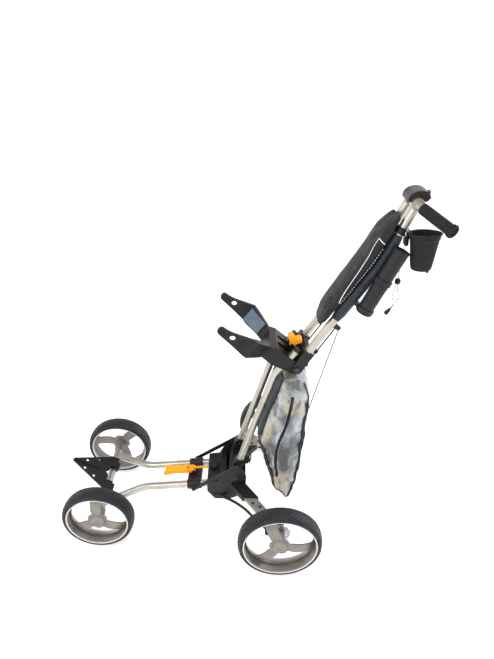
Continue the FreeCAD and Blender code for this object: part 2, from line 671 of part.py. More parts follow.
def hub():
    """The central moulding: tube sockets in front, a floor, and two cheeks that carry the mast pivot."""
    body = new_body("hub_body", **FRONT_FRAME)
    side_view = new_sketch(body, "hub_outline", "YZ_Plane")
    outline(side_view, [in_front_frame(y, z) for y, z in (
        ("hub_front_y", "mast_pivot_z - 58"),
        ("hub_front_y + 24", "hub_bottom_z"),
        ("mast_pivot_y - 20", "hub_bottom_z - 3"),
        ("mast_pivot_y + 34", "hub_bottom_z + 26"),
        ("mast_pivot_y + 37", "mast_pivot_z + 8"),
        ("mast_pivot_y + 19", "mast_pivot_z + 46"),
        ("mast_pivot_y - 12", "mast_pivot_z + 46"),
        ("mast_pivot_y - 44", "mast_pivot_z + 13"),
        ("hub_front_y + 36", "mast_pivot_z - 14"),
        ("hub_front_y", "mast_pivot_z - 20"),
    )])
    pad(body, side_view, "2 * cheek_outer")
    bay = new_sketch(body, "mast_bay", "YZ_Plane")
    outline(bay, [in_front_frame(y, z) for y, z in (
        ("bay_front_y", "bay_floor_z"),
        ("mast_pivot_y + 60", "bay_floor_z"),
        ("mast_pivot_y + 60", "mast_pivot_z + 120"),
        ("bay_front_y", "mast_pivot_z + 120"),
    )])
    pocket(body, bay, "2 * cheek_inner")
    lip = new_sketch(body, "bay_lip", "YZ_Plane")
    outline(lip, [in_front_frame(y, z) for y, z in (
        ("bay_front_y - 22", "mast_pivot_z - 2"),
        ("bay_front_y + 10", "mast_pivot_z - 4"),
        ("bay_front_y + 10", "mast_pivot_z + 120"),
        ("bay_front_y - 22", "mast_pivot_z + 120"),
    )])
    pocket(body, lip, "2 * cheek_inner")
    for side in (1, -1):
        relief = new_sketch(body, f"cheek_relief_{2 - side}", "YZ_Plane", offset=side_plane(side, "cheek_outer"))
        outline(relief, [in_front_frame(y, z) for y, z in (
            ("mast_pivot_y - 72", "hub_bottom_z + 18"),
            ("mast_pivot_y - 24", "hub_bottom_z + 20"),
            ("mast_pivot_y - 24", "mast_pivot_z - 16"),
            ("mast_pivot_y - 46", "mast_pivot_z - 16"),
            ("mast_pivot_y - 72", "mast_pivot_z - 34"),
        )])
        pocket(body, relief, "5")
    seat = new_sketch(body, "catch_seat", "YZ_Plane")
    box_outline(seat, "yoke_at + 60", "yoke_at + 104", CATCH_SEAT_Z, "60")
    pocket(body, seat, "34")
    tube_bores(body, "front_tube_radius", "front_tube_length - 90", "front_tube_length")
    hole = new_sketch(body, "pivot_hole", "YZ_Plane")
    circle(hole, *in_front_frame("mast_pivot_y", "mast_pivot_z"), "pivot_pin_radius")
    pocket(body, hole, "4 * cheek_outer")
    return keep(body)


def mast_pivot_pin():
    pin = new_body("mast_pivot_pin", at=("0", "mast_pivot_y", "mast_pivot_z"))
    shank = new_sketch(pin, "pin_shank", "YZ_Plane")
    circle(shank, "0", "0", "pivot_pin_radius")
    pad(pin, shank, "2 * cheek_outer")
    for side in (1, -1):
        head = new_sketch(pin, f"pin_head_{2 - side}", "YZ_Plane", offset=side_plane(side, "cheek_outer"))
        circle(head, "0", "0", "pivot_pin_radius + 3")
        pad(pin, head, "strut_inner - cheek_outer - side_clearance", symmetric=False, back=side < 0)
    keep(pin)


LEVER_PIVOT = ("300", "19")
LINK_PIVOT = ("287", "27")


def slide_yoke():
    """Two collars that slide on the front tubes, a crosspiece, strut bosses and the ears of the draw latch."""
    body = new_body("slide_yoke", **FRONT_FRAME)
    face = new_sketch(body, "yoke_face", "XZ_Plane", offset="-(yoke_at + yoke_length)")
    box_outline(face, "-tube_offset", "tube_offset", "-9", "9")
    pad(body, face, "yoke_length", symmetric=False)
    for side in (1, -1):
        collar = new_sketch(body, f"collar_{2 - side}", "XZ_Plane", offset="-(yoke_at + yoke_length)")
        circle(collar, f"{side} * tube_offset", "0", "socket_radius")
        pad(body, collar, "yoke_length", symmetric=False)
    boss = new_sketch(body, "strut_boss", "YZ_Plane")
    circle(boss, "strut_low", "0", "strut_half_width + 3")
    pad(body, boss, "2 * (strut_inner - side_clearance)")
    ears = new_sketch(body, "latch_ears", "YZ_Plane")
    outline(ears, [
        (f"{LEVER_PIVOT[0]} - 10", "5"),
        (f"{LEVER_PIVOT[0]} + 10", "5"),
        (f"{LEVER_PIVOT[0]} + 6.5", LEVER_PIVOT[1], "6.7"),
        (f"{LEVER_PIVOT[0]} - 6.5", LEVER_PIVOT[1]),
    ])
    pad(body, ears, "34")
    between = new_sketch(body, "latch_slot", "YZ_Plane")
    box_outline(between, f"{LEVER_PIVOT[0]} - 14", f"{LEVER_PIVOT[0]} + 14", "9.5", "40")
    pocket(body, between, "25")
    pin = new_sketch(body, "latch_pin", "YZ_Plane")
    circle(pin, *LEVER_PIVOT, "3")
    pad(body, pin, "34")
    tube_bores(body, "front_tube_radius + slide_clearance", "yoke_at - 30", "yoke_at + yoke_length + 30")
    keep(body)


def latch_lever():
    """The paddle of the draw latch, forked at its rear round the link."""
    body = new_body("latch_lever", **FRONT_FRAME)
    plan = new_sketch(body, "lever_plan", "XY_Plane", offset=f"{LEVER_PIVOT[1]} + 2")
    outline(plan, [
        ("-19", f"{LEVER_PIVOT[0]} - 104", "-40"),
        ("19", f"{LEVER_PIVOT[0]} - 104"),
        ("13", f"{LEVER_PIVOT[0]} - 76"),
        ("13", f"{LEVER_PIVOT[0]} - 48"),
        ("15", f"{LEVER_PIVOT[0]} - 28"),
        ("12", f"{LEVER_PIVOT[0]} - 14"),
        ("12", f"{LEVER_PIVOT[0]} + 6"),
        ("-12", f"{LEVER_PIVOT[0]} + 6"),
        ("-12", f"{LEVER_PIVOT[0]} - 14"),
        ("-15", f"{LEVER_PIVOT[0]} - 28"),
        ("-13", f"{LEVER_PIVOT[0]} - 48"),
        ("-13", f"{LEVER_PIVOT[0]} - 76"),
    ])
    pad(body, plan, "13")
    fork = new_sketch(body, "lever_fork", "XY_Plane", offset=LEVER_PIVOT[1])
    box_outline(fork, "-5.5", "5.5", f"{LEVER_PIVOT[0]} - 24", f"{LEVER_PIVOT[0]} + 20")
    pocket(body, fork, "60")
    hole = new_sketch(body, "lever_hole", "YZ_Plane")
    circle(hole, *LEVER_PIVOT, "3 + running_clearance")
    pocket(body, hole, "40")
    relief = new_sketch(body, "lever_relief", "YZ_Plane")
    outline(relief, [
        (f"{LEVER_PIVOT[0]} - 18", f"{LEVER_PIVOT[1]} - 20"),
        (f"{LEVER_PIVOT[0]} + 20", f"{LEVER_PIVOT[1]} - 20"),
        (f"{LEVER_PIVOT[0]} + 20", f"{LEVER_PIVOT[1]} - 4"),
        (f"{LEVER_PIVOT[0]} - 10", f"{LEVER_PIVOT[1]} - 4"),
    ])
    pocket(body, relief, "60")
    corner = new_sketch(body, "lever_corner", "YZ_Plane")
    outline(corner, [
        (f"{LEVER_PIVOT[0]}", f"{LEVER_PIVOT[1]} + 5.9", "-5.9"),
        (f"{LEVER_PIVOT[0]} + 5.9", f"{LEVER_PIVOT[1]}"),
        (f"{LEVER_PIVOT[0]} + 5.9", f"{LEVER_PIVOT[1]} - 20"),
        (f"{LEVER_PIVOT[0]} + 20", f"{LEVER_PIVOT[1]} - 20"),
        (f"{LEVER_PIVOT[0]} + 20", f"{LEVER_PIVOT[1]} + 20"),
        (f"{LEVER_PIVOT[0]}", f"{LEVER_PIVOT[1]} + 20"),
    ])
    pocket(body, corner, "60")
    link_pin = new_sketch(body, "link_pin", "YZ_Plane")
    circle(link_pin, LINK_PIVOT[0], f"{LINK_PIVOT[1]} - 3", "2")
    pad(body, link_pin, "20")
    keep(body)


def latch_link():
    """The rod of the draw latch with its metal tip."""
    body = new_body("latch_link", **FRONT_FRAME)
    y, z = LINK_PIVOT[0], f"({LINK_PIVOT[1]} - 3)"
    side_view = new_sketch(body, "link_side", "YZ_Plane")
    outline(side_view, [
        (y, f"{z} + 4", "4.2"),
        (y, f"{z} - 4"),
        (f"{y} + 8", f"{z} - 1"),
        (f"{y} + 55", f"{z} - 1"),
        (f"{y} + 61", f"{z} - 3"),
        (f"{y} + 65", f"{z} - 3"),
        (f"{y} + 65", f"{z} + 4"),
    ])
    pad(body, side_view, "6")
    hole = new_sketch(body, "link_hole", "YZ_Plane")
    circle(hole, y, z, "2 + running_clearance")
    pocket(body, hole, "20")
    keep(body)


def latch_catch():
    """The catch on top of the hub that the draw latch pulls on."""
    body = new_body("latch_catch", **FRONT_FRAME)
    plan = new_sketch(body, "catch_plan", "XY_Plane", offset=CATCH_SEAT_Z)
    front = "(yoke_at + 77)"
    outline(plan, [
        ("-4", front),
        ("4", front),
        ("15", f"{front} + 16"),
        ("12", f"{front} + 24"),
        ("-12", f"{front} + 24"),
        ("-15", f"{front} + 16"),
    ])
    pad(body, plan, "14", symmetric=False)
    keep(body)


front_axle()
for side_name, side in SIDES:
    front_tube(side_name, side)
cradle()
hub_part = hub()
mast_pivot_pin()
slide_yoke()
latch_lever()
latch_link()
latch_catch()


# ---------------------------------------------------------------- lower mast

def beside_mast(distance, across):
    """A point in side view: a distance up the mast tubes from the pivot's level, and across them rearwards."""
    return (
        f"mast_pivot_y + mast_axis_back + ({distance}) * sin(mast_lean) + ({across}) * cos(mast_lean)",
        f"mast_pivot_z + ({distance}) * cos(mast_lean) - ({across}) * sin(mast_lean)",
    )


def mast_path():
    """The side view of a lower mast tube's axis."""
    return [beside_mast("mast_tube_start", "0"), ("mast_bend_y", "mast_bend_z"), ("mast_end_y", "mast_end_z")]


def mast_tube(side_name, side):
    tube = new_body(f"mast_tube_{side_name}")
    path = new_sketch(tube, f"mast_path_{side_name}", "YZ_Plane", offset=side_plane(side, "tube_offset"))
    bent_path(path, mast_path(), "mast_bend")
    follow(tube, path, ["mast_tube_radius", "mast_tube_radius - tube_wall"])
    keep(tube)


def cut_mast_tubes(body):
    for side in (1, -1):
        path = new_sketch(body, f"mast_bore_{2 - side}", "YZ_Plane", offset=side_plane(side, "tube_offset"))
        bent_path(path, mast_path(), "mast_bend")
        follow(body, path, ["mast_tube_radius"], kind="PartDesign::SubtractivePipe")


def mast_foot():
    """The moulding that pivots in the hub: a round foot, two tube sockets and the upper strut bosses."""
    foot = new_body("mast_foot")
    barrel = new_sketch(foot, "foot_barrel", "YZ_Plane")
    circle(barrel, "mast_pivot_y", "mast_pivot_z", "foot_radius")
    pad(foot, barrel, "2 * foot_half_width")
    sockets = new_sketch(foot, "foot_sockets", "YZ_Plane")
    outline(sockets, [
        beside_mast("0", "-foot_half_depth"),
        beside_mast("0", "foot_half_depth"),
        beside_mast("foot_height - 6", "foot_half_depth"),
        beside_mast("foot_height", "foot_half_depth - 6"),
        beside_mast("foot_height", "6 - foot_half_depth"),
        beside_mast("foot_height - 6", "-foot_half_depth"),
    ])
    pad(foot, sockets, "2 * foot_half_width")
    gap = new_sketch(foot, "foot_gap", "YZ_Plane")
    outline(gap, [
        beside_mast("foot_radius + 12", "-40"),
        beside_mast("foot_radius + 12", "40"),
        beside_mast("foot_height + 20", "40"),
        beside_mast("foot_height + 20", "-40"),
    ])
    pocket(foot, gap, "2 * (tube_offset - foot_half_depth)")
    tab = new_sketch(foot, "ring_tab", "YZ_Plane")
    outline(tab, [
        beside_mast("12", "12"),
        beside_mast("26", "42"),
        beside_mast("36", "42"),
        beside_mast("33", "12"),
    ])
    pad(foot, tab, "26")
    boss = new_sketch(foot, "strut_bosses", "YZ_Plane")
    circle(boss, *beside_mast("strut_high", "0"), "strut_half_width + 2")
    pad(foot, boss, "2 * (strut_inner - side_clearance)")
    between = new_sketch(foot, "boss_gap", "YZ_Plane")
    circle(between, *beside_mast("strut_high", "0"), "strut_half_width + 4")
    pocket(foot, between, "2 * (tube_offset - foot_half_depth)")
    cut_mast_tubes(foot)
    holes = new_sketch(foot, "foot_holes", "YZ_Plane")
    circle(holes, "mast_pivot_y", "mast_pivot_z", "pivot_pin_radius + running_clearance")
    pocket(foot, holes, "4 * foot_half_width")
    strut_holes = new_sketch(foot, "strut_holes", "YZ_Plane")
    circle(strut_holes, *beside_mast("strut_high", "0"), "strut_pin_radius + running_clearance")
    pocket(foot, strut_holes, "4 * foot_half_width")
    keep(foot)


def lifting_ring():
    """A wire ring through the tab at the back of the mast foot."""
    ring = new_body("lifting_ring")
    y, z = beside_mast("31", "42")
    wire = new_sketch(ring, "ring_wire", "YZ_Plane")
    circle(wire, f"{y} + 3", f"{z} + 3", "1.8")
    pad(ring, wire, "30")
    for side in (1, -1):
        leg = new_sketch(ring, f"ring_leg_{2 - side}", "YZ_Plane", offset=side_plane(side, "15"))
        outline(leg, [
            (f"{y} + 1.2", f"{z} + 2"),
            (f"{y} + 5", f"{z} + 2"),
            (f"{y} + 10", f"{z} + 22"),
            (f"{y} + 6.5", f"{z} + 22"),
        ])
        pad(ring, leg, "3.4")
    top = new_sketch(ring, "ring_top", "YZ_Plane")
    circle(top, f"{y} + 8.3", f"{z} + 21", "1.8")
    pad(ring, top, "30")
    keep(ring)


def struts():
    """Two flat bars from the mast foot down to the slide yoke, with a pin at each end."""
    low_y = number("front_axle_y") + number("strut_low") * math.cos(math.radians(number("front_rise")))
    low_z = number("front_wheel_radius") + number("strut_low") * math.sin(math.radians(number("front_rise")))
    high_y, high_z = (number(text) for text in beside_mast("strut_high", "0"))
    length = math.hypot(high_y - low_y, high_z - low_z)
    angle = math.degrees(math.atan2(high_z - low_z, high_y - low_y))
    members = []
    for side_name, side in SIDES:
        bar = new_body(f"strut_{side_name}", at=("0", *beside_mast("strut_high", "0")), axis=X_AXIS, angle=f"{angle:.6f}")
        face = new_sketch(bar, f"strut_face_{side_name}", "YZ_Plane", offset=side_plane(side, "strut_inner"))
        outline(face, [
            (f"-({length})", "-strut_half_width"),
            ("0", "-strut_half_width", "strut_half_width * 1.01"),
            ("0", "strut_half_width"),
            (f"-({length})", "strut_half_width", "strut_half_width * 1.01"),
        ])
        pad(bar, face, "strut_thickness", symmetric=False, back=side < 0)
        pin = new_sketch(bar, f"strut_pin_{side_name}", "YZ_Plane", offset=side_plane(side, "tube_offset + 12"))
        circle(pin, "0", "0", "strut_pin_radius")
        pad(bar, pin, "strut_inner + strut_thickness + 2.5 - tube_offset - 12", symmetric=False, back=side < 0)
        heads = new_sketch(bar, f"strut_heads_{side_name}", "YZ_Plane",
                           offset=side_plane(side, "strut_inner + strut_thickness"))
        circle(heads, "0", "0", "strut_half_width - 0.5")
        circle(heads, f"-({length})", "0", "strut_half_width - 0.5")
        pad(bar, heads, "2.5", symmetric=False, back=side < 0)
        members.append(bar)
    group("struts", members)


for side_name, side in SIDES:
    mast_tube(side_name, side)
mast_foot()
lifting_ring()
struts()


# ---------------------------------------------------------------- bag bracket

def beside_root(along_arm, up):
    """A point in side view, from the middle of the arms' root: rearwards along the arms' line, and up across it."""
    return (
        f"arm_root_y + ({along_arm}) * cos(arm_tilt) + ({up}) * sin(arm_tilt)",
        f"arm_root_z - ({along_arm}) * sin(arm_tilt) + ({up}) * cos(arm_tilt)",
    )


def beside_hinge(distance, across):
    """A point in side view, from the upper hinge: up along the upper yoke, and across it forwards."""
    return (
        f"hinge_y + ({distance}) * cos(upper_yoke_lean) - ({across}) * sin(upper_yoke_lean)",
        f"hinge_z + ({distance}) * sin(upper_yoke_lean) + ({across}) * cos(upper_yoke_lean)",
    )


LATCH_PIVOT = ("36", "667")


def bag_bracket():
    """The moulding round the bend of the mast tubes. Its barrel is the middle of the upper hinge."""
    body = new_body("bag_bracket")
    side_view = new_sketch(body, "bracket_outline", "YZ_Plane")
    outline(side_view, [
        beside_root("0", "-root_down"),
        beside_root("40", "-root_down - 3"),
        ("hinge_y - 22", "hinge_z - 11"),
        ("hinge_y - 6", "hinge_z - hinge_barrel_radius + 1"),
        ("hinge_y + 13", "hinge_z - 2"),
        ("hinge_y + 10", "hinge_z + 16"),
        ("18", "658"),
        ("-12", "684"),
        beside_root("0", "root_up"),
    ])
    pad(body, side_view, "2 * bracket_half_width")
    barrel = new_sketch(body, "bracket_barrel", "YZ_Plane")
    circle(barrel, "hinge_y", "hinge_z", "hinge_barrel_radius")
    pad(body, barrel, "2 * knuckle_half_width")
    for side in (1, -1):
        room = new_sketch(body, f"collar_room_{2 - side}", "YZ_Plane", offset=side_plane(side, "knuckle_half_width"))
        outline(room, [
            beside_hinge("-3", "collar_radius + 0.8"),
            beside_hinge("80", "collar_radius + 0.8"),
            beside_hinge("80", "-60"),
            beside_hinge("-60", "-60"),
            beside_hinge("-60", "2"),
            beside_hinge("-14", "6"),
        ])
        pocket(body, room, "bracket_half_width", symmetric=False, back=side > 0)
        round_room = new_sketch(body, f"barrel_room_{2 - side}", "YZ_Plane",
                                offset=side_plane(side, "knuckle_half_width"))
        circle(round_room, "hinge_y", "hinge_z", "hinge_barrel_radius + 0.6")
        pocket(body, round_room, "bracket_half_width", symmetric=False, back=side > 0)
    for side in (1, -1):
        ear = new_sketch(body, f"latch_ear_{2 - side}", "YZ_Plane", offset=side_plane(side, "17.5"))
        outline(ear, [
            ("14", "655"),
            ("44", "634"),
            (f"{LATCH_PIVOT[0]} + 5", f"{LATCH_PIVOT[1]} + 3", "7"),
            (f"{LATCH_PIVOT[0]} - 5", f"{LATCH_PIVOT[1]} + 3"),
        ])
        pad(body, ear, "4")
    pin = new_sketch(body, "latch_pin_hole", "YZ_Plane")
    circle(pin, *LATCH_PIVOT, "2.5")
    pad(body, pin, "36")
    for side in (1, -1):
        pocket_top = new_sketch(body, f"bracket_recess_{2 - side}", "YZ_Plane", offset=side_plane(side, "20"))
        outline(pocket_top, [("-2", "690"), ("30", "662"), ("22", "646"), ("-10", "670")])
        pocket(body, pocket_top, "16")
    cut_mast_tubes(body)
    hole = new_sketch(body, "hinge_hole", "YZ_Plane")
    circle(hole, "hinge_y", "hinge_z", "hinge_pin_radius")
    pocket(body, hole, "4 * knuckle_half_width")
    keep(body)


ARM_FRAME = dict(at=("0", "arm_root_y", "arm_root_z"), axis=X_AXIS, angle="-arm_tilt")


def bracket_arm(side_name, side):
    """An arm that holds the golf bag: it flares out from the root and then runs straight forwards."""
    arm = new_body(f"bracket_arm_{side_name}", **ARM_FRAME)
    plan = new_sketch(arm, f"arm_plan_{side_name}", "XY_Plane")
    inner, outer = "arm_reach", "(arm_reach + arm_thickness)"
    points = [
        ("bracket_half_width - 26", "0"),
        ("bracket_half_width", "0"),
        ("bracket_half_width + 6", "-4"),
        (f"{outer} - 4", "-50"),
        (outer, "-62"),
        (outer, "-arm_length"),
        (inner, "-arm_length"),
        (f"{inner} - 1", "-66"),
        ("bracket_half_width - 4", "-14"),
        ("bracket_half_width - 16", "-5"),
    ]
    outline(plan, [(f"{side} * ({x})", y) for x, y in points])
    pad(arm, plan, "3 * arm_half_depth")
    trim = new_sketch(arm, f"arm_side_{side_name}", "YZ_Plane")
    tip = "(arm_tip_radius - arm_length)"
    outline(trim, [
        ("6", "-root_down"),
        ("6", "root_up"),
        ("-63", "arm_half_depth + 2"),
        ("-116", "18", "-120"),
        (f"{tip} + 2", "arm_tip_radius", "arm_tip_radius * 1.01"),
        (f"{tip} + 2", "1 - arm_tip_radius"),
        ("-108", "-19"),
        ("-54", "3 - arm_half_depth"),
    ])
    box_outline(trim, "-2 * arm_length", "60", "-4 * arm_half_depth", "4 * arm_half_depth")
    pocket(arm, trim, "6 * arm_reach")
    holes = new_sketch(arm, f"arm_holes_{side_name}", "YZ_Plane")
    circle(holes, "-120", "1", "8.5")
    circle(holes, "4 - arm_length", "0", "2.5")
    pocket(arm, holes, "6 * arm_reach")
    face = side_plane(side, "arm_reach + arm_thickness")
    rings = new_sketch(arm, f"arm_ring_{side_name}", "YZ_Plane", offset=face)
    circle(rings, "-149", "0", "8")
    circle(rings, "-149", "0", "4")
    circle(rings, "-89", "2", "9")
    circle(rings, "-89", "2", "6.5")
    pad(arm, rings, "1.5", symmetric=False, back=side < 0)
    keep(arm)


def bracket_pads():
    """Thin pads on the slanted inner faces of the arms."""
    members = []
    for side_name, side in SIDES:
        plate = new_body(f"bracket_pad_{side_name}", **ARM_FRAME)
        plan = new_sketch(plate, f"pad_plan_{side_name}", "XY_Plane")
        points = [
            ("bracket_half_width - 4", "-14"),
            ("arm_reach - 1", "-66"),
            ("arm_reach - 1 - pad_thickness", "-66 - 0.5"),
            ("bracket_half_width - 4 - pad_thickness", "-14 - 2"),
        ]
        outline(plan, [(f"{side} * ({x})", y) for x, y in points])
        pad(plate, plan, "46")
        members.append(plate)
    group("bracket_pads", members)


def tube_caps():
    """Black plugs on the upper ends of the lower mast tubes."""
    lean = math.degrees(math.atan2(number("mast_end_y - mast_bend_y"), number("mast_end_z - mast_bend_z")))
    members = []
    for side_name, side in SIDES:
        cap = new_body(f"tube_cap_{side_name}", at=(f"{side} * tube_offset", "mast_end_y", "mast_end_z"),
                       axis=X_AXIS, angle=f"-({lean})")
        disc = new_sketch(cap, f"cap_disc_{side_name}", "XY_Plane")
        circle(disc, "0", "0", "mast_tube_radius - 0.2")
        pad(cap, disc, "cap_length", symmetric=False)
        members.append(cap)
    group("tube_caps", members)


def storage_bag():
    """The tapered fabric bag that hangs behind the lower mast."""
    bag = new_body("storage_bag")
    side_view = new_sketch(bag, "storage_outline", "YZ_Plane")
    outline(side_view, [
        ("30", "98"),
        ("44", "104"),
        ("66", "190"),
        ("80", "340"),
        ("91", "520"),
        ("72", "580"),
        ("46", "592"),
        ("6", "590"),
        beside_mast("262", "mast_tube_radius + 5"),
        beside_mast("200", "mast_tube_radius + 8"),
        ("-14", "158"),
    ])
    pad(bag, side_view, "2 * storage_half_width")
    inside = new_sketch(bag, "storage_inside", "YZ_Plane")
    outline(inside, [
        ("28", "103"),
        ("40", "107"),
        ("61", "191"),
        ("75", "340"),
        ("86", "519"),
        ("69", "576"),
        ("46", "587"),
        ("10", "585"),
        beside_mast("262", "mast_tube_radius + 10"),
        beside_mast("200", "mast_tube_radius + 13"),
        ("-9", "160"),
    ])
    pocket(bag, inside, "2 * (storage_half_width - 4)")
    keep(bag)


def upper_latch():
    """The latch lever between the tube stubs, which holds the upper mast open."""
    body = new_body("upper_latch")
    side_view = new_sketch(body, "latch_outline", "YZ_Plane")
    y, z = LATCH_PIVOT
    outline(side_view, [
        (f"{y} - 7", f"{z} - 4"),
        (f"{y} + 5", f"{z} - 9"),
        (f"{y} + 13", f"{z} + 3"),
        (f"{y} + 29", f"{z} + 9"),
        (f"{y} + 30", f"{z} + 16"),
        (f"{y} + 22", f"{z} + 21"),
        (f"{y} + 12", f"{z} + 17"),
        (f"{y} + 2", f"{z} + 30"),
        (f"{y} - 9", f"{z} + 32"),
        (f"{y} - 12", f"{z} + 25"),
        (f"{y} - 5", f"{z} + 12"),
    ])
    pad(body, side_view, "28")
    hole = new_sketch(body, "latch_bore", "YZ_Plane")
    circle(hole, *LATCH_PIVOT, "2.5 + running_clearance")
    pocket(body, hole, "60")
    keep(body)


bag_bracket()
for side_name, side in SIDES:
    bracket_arm(side_name, side)
bracket_pads()
tube_caps()
storage_bag()
upper_latch()


# ---------------------------------------------------------------- upper mast

def upper_path():
    """An upper tube's axis, drawn on its leaning plane."""
    return [
        ("upper_start_y", "upper_start_z / cos(upper_taper)"),
        ("upper_first_y", "upper_first_z / cos(upper_taper)"),
        ("upper_second_y", "upper_second_z / cos(upper_taper)"),
        ("handle_y", "handle_z / cos(upper_taper)"),
    ]


def taper_sketch(body, name, side):
    """A sketch on the leaning plane that holds one upper tube's axis."""
    foot_x = side_plane(side, "upper_offset + upper_start_z * tan(upper_taper)")
    return new_sketch(body, name, "YZ_Plane", offset=foot_x, lean=f"-({side}) * upper_taper")


def cut_upper_tubes(body):
    for side in (1, -1):
        path = taper_sketch(body, f"upper_bore_{2 - side}", side)
        bent_path(path, upper_path(), "upper_bend")
        follow(body, path, ["upper_tube_radius"], kind="PartDesign::SubtractivePipe")


def upper_tube_x(z):
    """How far an upper tube's axis is from the centre plane at a height."""
    return f"(upper_offset - (({z}) - upper_start_z) * tan(upper_taper))"


def upper_tube(side_name, side):
    """A bent tube with a welded eye on top, in which the handle bar turns."""
    tube = new_body(f"upper_tube_{side_name}")
    path = taper_sketch(tube, f"upper_path_{side_name}", side)
    bent_path(path, upper_path(), "upper_bend")
    follow(tube, path, ["upper_tube_radius", "upper_tube_radius - tube_wall"])
    eye = new_sketch(tube, f"eye_{side_name}", "YZ_Plane", offset=side_plane(side, upper_tube_x("handle_z")))
    circle(eye, "handle_y", "handle_z", "eye_radius")
    pad(tube, eye, "eye_width")
    bore = new_sketch(tube, f"eye_bore_{side_name}", "YZ_Plane")
    circle(bore, "handle_y", "handle_z", "handle_bar_radius + running_clearance")
    pocket(tube, bore, "6 * upper_offset")
    keep(tube)


def upper_yoke():
    """Two collars on hinge barrels, joined by a crosspiece: the foot of the upper mast."""
    body = new_body("upper_yoke")
    barrel = new_sketch(body, "yoke_barrel", "YZ_Plane")
    circle(barrel, "hinge_y", "hinge_z", "hinge_barrel_radius")
    pad(body, barrel, "2 * (upper_offset + collar_radius)")
    arm = new_sketch(body, "yoke_arm", "YZ_Plane")
    outline(arm, [
        beside_hinge("0", "-collar_radius"),
        beside_hinge("upper_yoke_length", "-collar_radius"),
        beside_hinge("upper_yoke_length", "collar_radius"),
        beside_hinge("0", "collar_radius"),
    ])
    pad(body, arm, "2 * (upper_offset + collar_radius)")
    low = new_sketch(body, "yoke_gap", "YZ_Plane")
    outline(low, [
        beside_hinge("-30", "-40"),
        beside_hinge("34", "-40"),
        beside_hinge("34", "40"),
        beside_hinge("-30", "40"),
    ])
    pocket(body, low, "2 * (knuckle_half_width + side_clearance)")
    for sign in (1, -1):
        side_gap = new_sketch(body, f"cross_thin_{2 - sign}", "YZ_Plane")
        edge = f"{sign} * 8"
        outline(side_gap, [
            beside_hinge("20", edge),
            beside_hinge("upper_yoke_length + 20", edge),
            beside_hinge("upper_yoke_length + 20", f"{sign} * 40"),
            beside_hinge("20", f"{sign} * 40"),
        ])
        pocket(body, side_gap, "2 * (upper_offset - collar_radius)")
    for side in (1, -1):
        ear = new_sketch(body, f"housing_ear_{2 - side}", "YZ_Plane", offset=side_plane(side, "50"))
        outline(ear, [
            beside_hinge("12", "-collar_radius + 2"),
            beside_hinge("18", "-collar_radius - 9"),
            beside_hinge("26", "-collar_radius - 9"),
            beside_hinge("26", "-collar_radius + 2"),
        ])
        pad(body, ear, "9")
    cut_upper_tubes(body)
    hole = new_sketch(body, "yoke_hole", "YZ_Plane")
    circle(hole, "hinge_y", "hinge_z", "hinge_pin_radius + running_clearance")
    pocket(body, hole, "6 * upper_offset")
    keep(body)


def upper_hinge_pin():
    pin = new_body("upper_hinge_pin", at=("0", "hinge_y", "hinge_z"))
    shank = new_sketch(pin, "hinge_shank", "YZ_Plane")
    circle(shank, "0", "0", "hinge_pin_radius")
    outer = "(upper_offset + collar_radius)"
    pad(pin, shank, f"2 * {outer}")
    for side in (1, -1):
        head = new_sketch(pin, f"hinge_head_{2 - side}", "YZ_Plane", offset=side_plane(side, f"{outer} + side_clearance"))
        circle(head, "0", "0", "hinge_pin_radius + 4")
        pad(pin, head, "3", symmetric=False, back=side < 0)
        neck = new_sketch(pin, f"hinge_neck_{2 - side}", "YZ_Plane", offset=side_plane(side, outer))
        circle(neck, "0", "0", "hinge_pin_radius")
        pad(pin, neck, "side_clearance + 1", symmetric=False, back=side < 0)
    keep(pin)


upper_yoke()
upper_hinge_pin()
for side_name, side in SIDES:
    upper_tube(side_name, side)


# ---------------------------------------------------------------- handle

BAR_TANGENT = "(handle_bend * tan(handle_sweep / 2))"
GRIP_START = f"({BAR_TANGENT} + grip_gap)"
GRIP_END = f"({GRIP_START} + grip_length)"
HANDLE_FRAME = dict(at=("0", "handle_y", "handle_z"), axis=X_AXIS, angle="-handle_droop")


def along_grip(side, distance, across):
    """A point in the handle's plane: a distance along a grip from the bar's corner, and out from its axis."""
    return (
        f"{side} * (handle_straight + ({distance}) * cos(handle_sweep) - ({across}) * sin(handle_sweep))",
        f"({distance}) * sin(handle_sweep) + ({across}) * cos(handle_sweep)",
    )


def handle_bar():
    bar = new_body("handle_bar", **HANDLE_FRAME)
    path = new_sketch(bar, "bar_path", "XY_Plane")
    reach = f"{GRIP_END} - 6"
    bent_path(path, [
        along_grip(-1, reach, "0"),
        ("-handle_straight", "0"),
        ("handle_straight", "0"),
        along_grip(1, reach, "0"),
    ], "handle_bend")
    follow(bar, path, ["handle_bar_radius", "handle_bar_radius - tube_wall"])
    keep(bar)


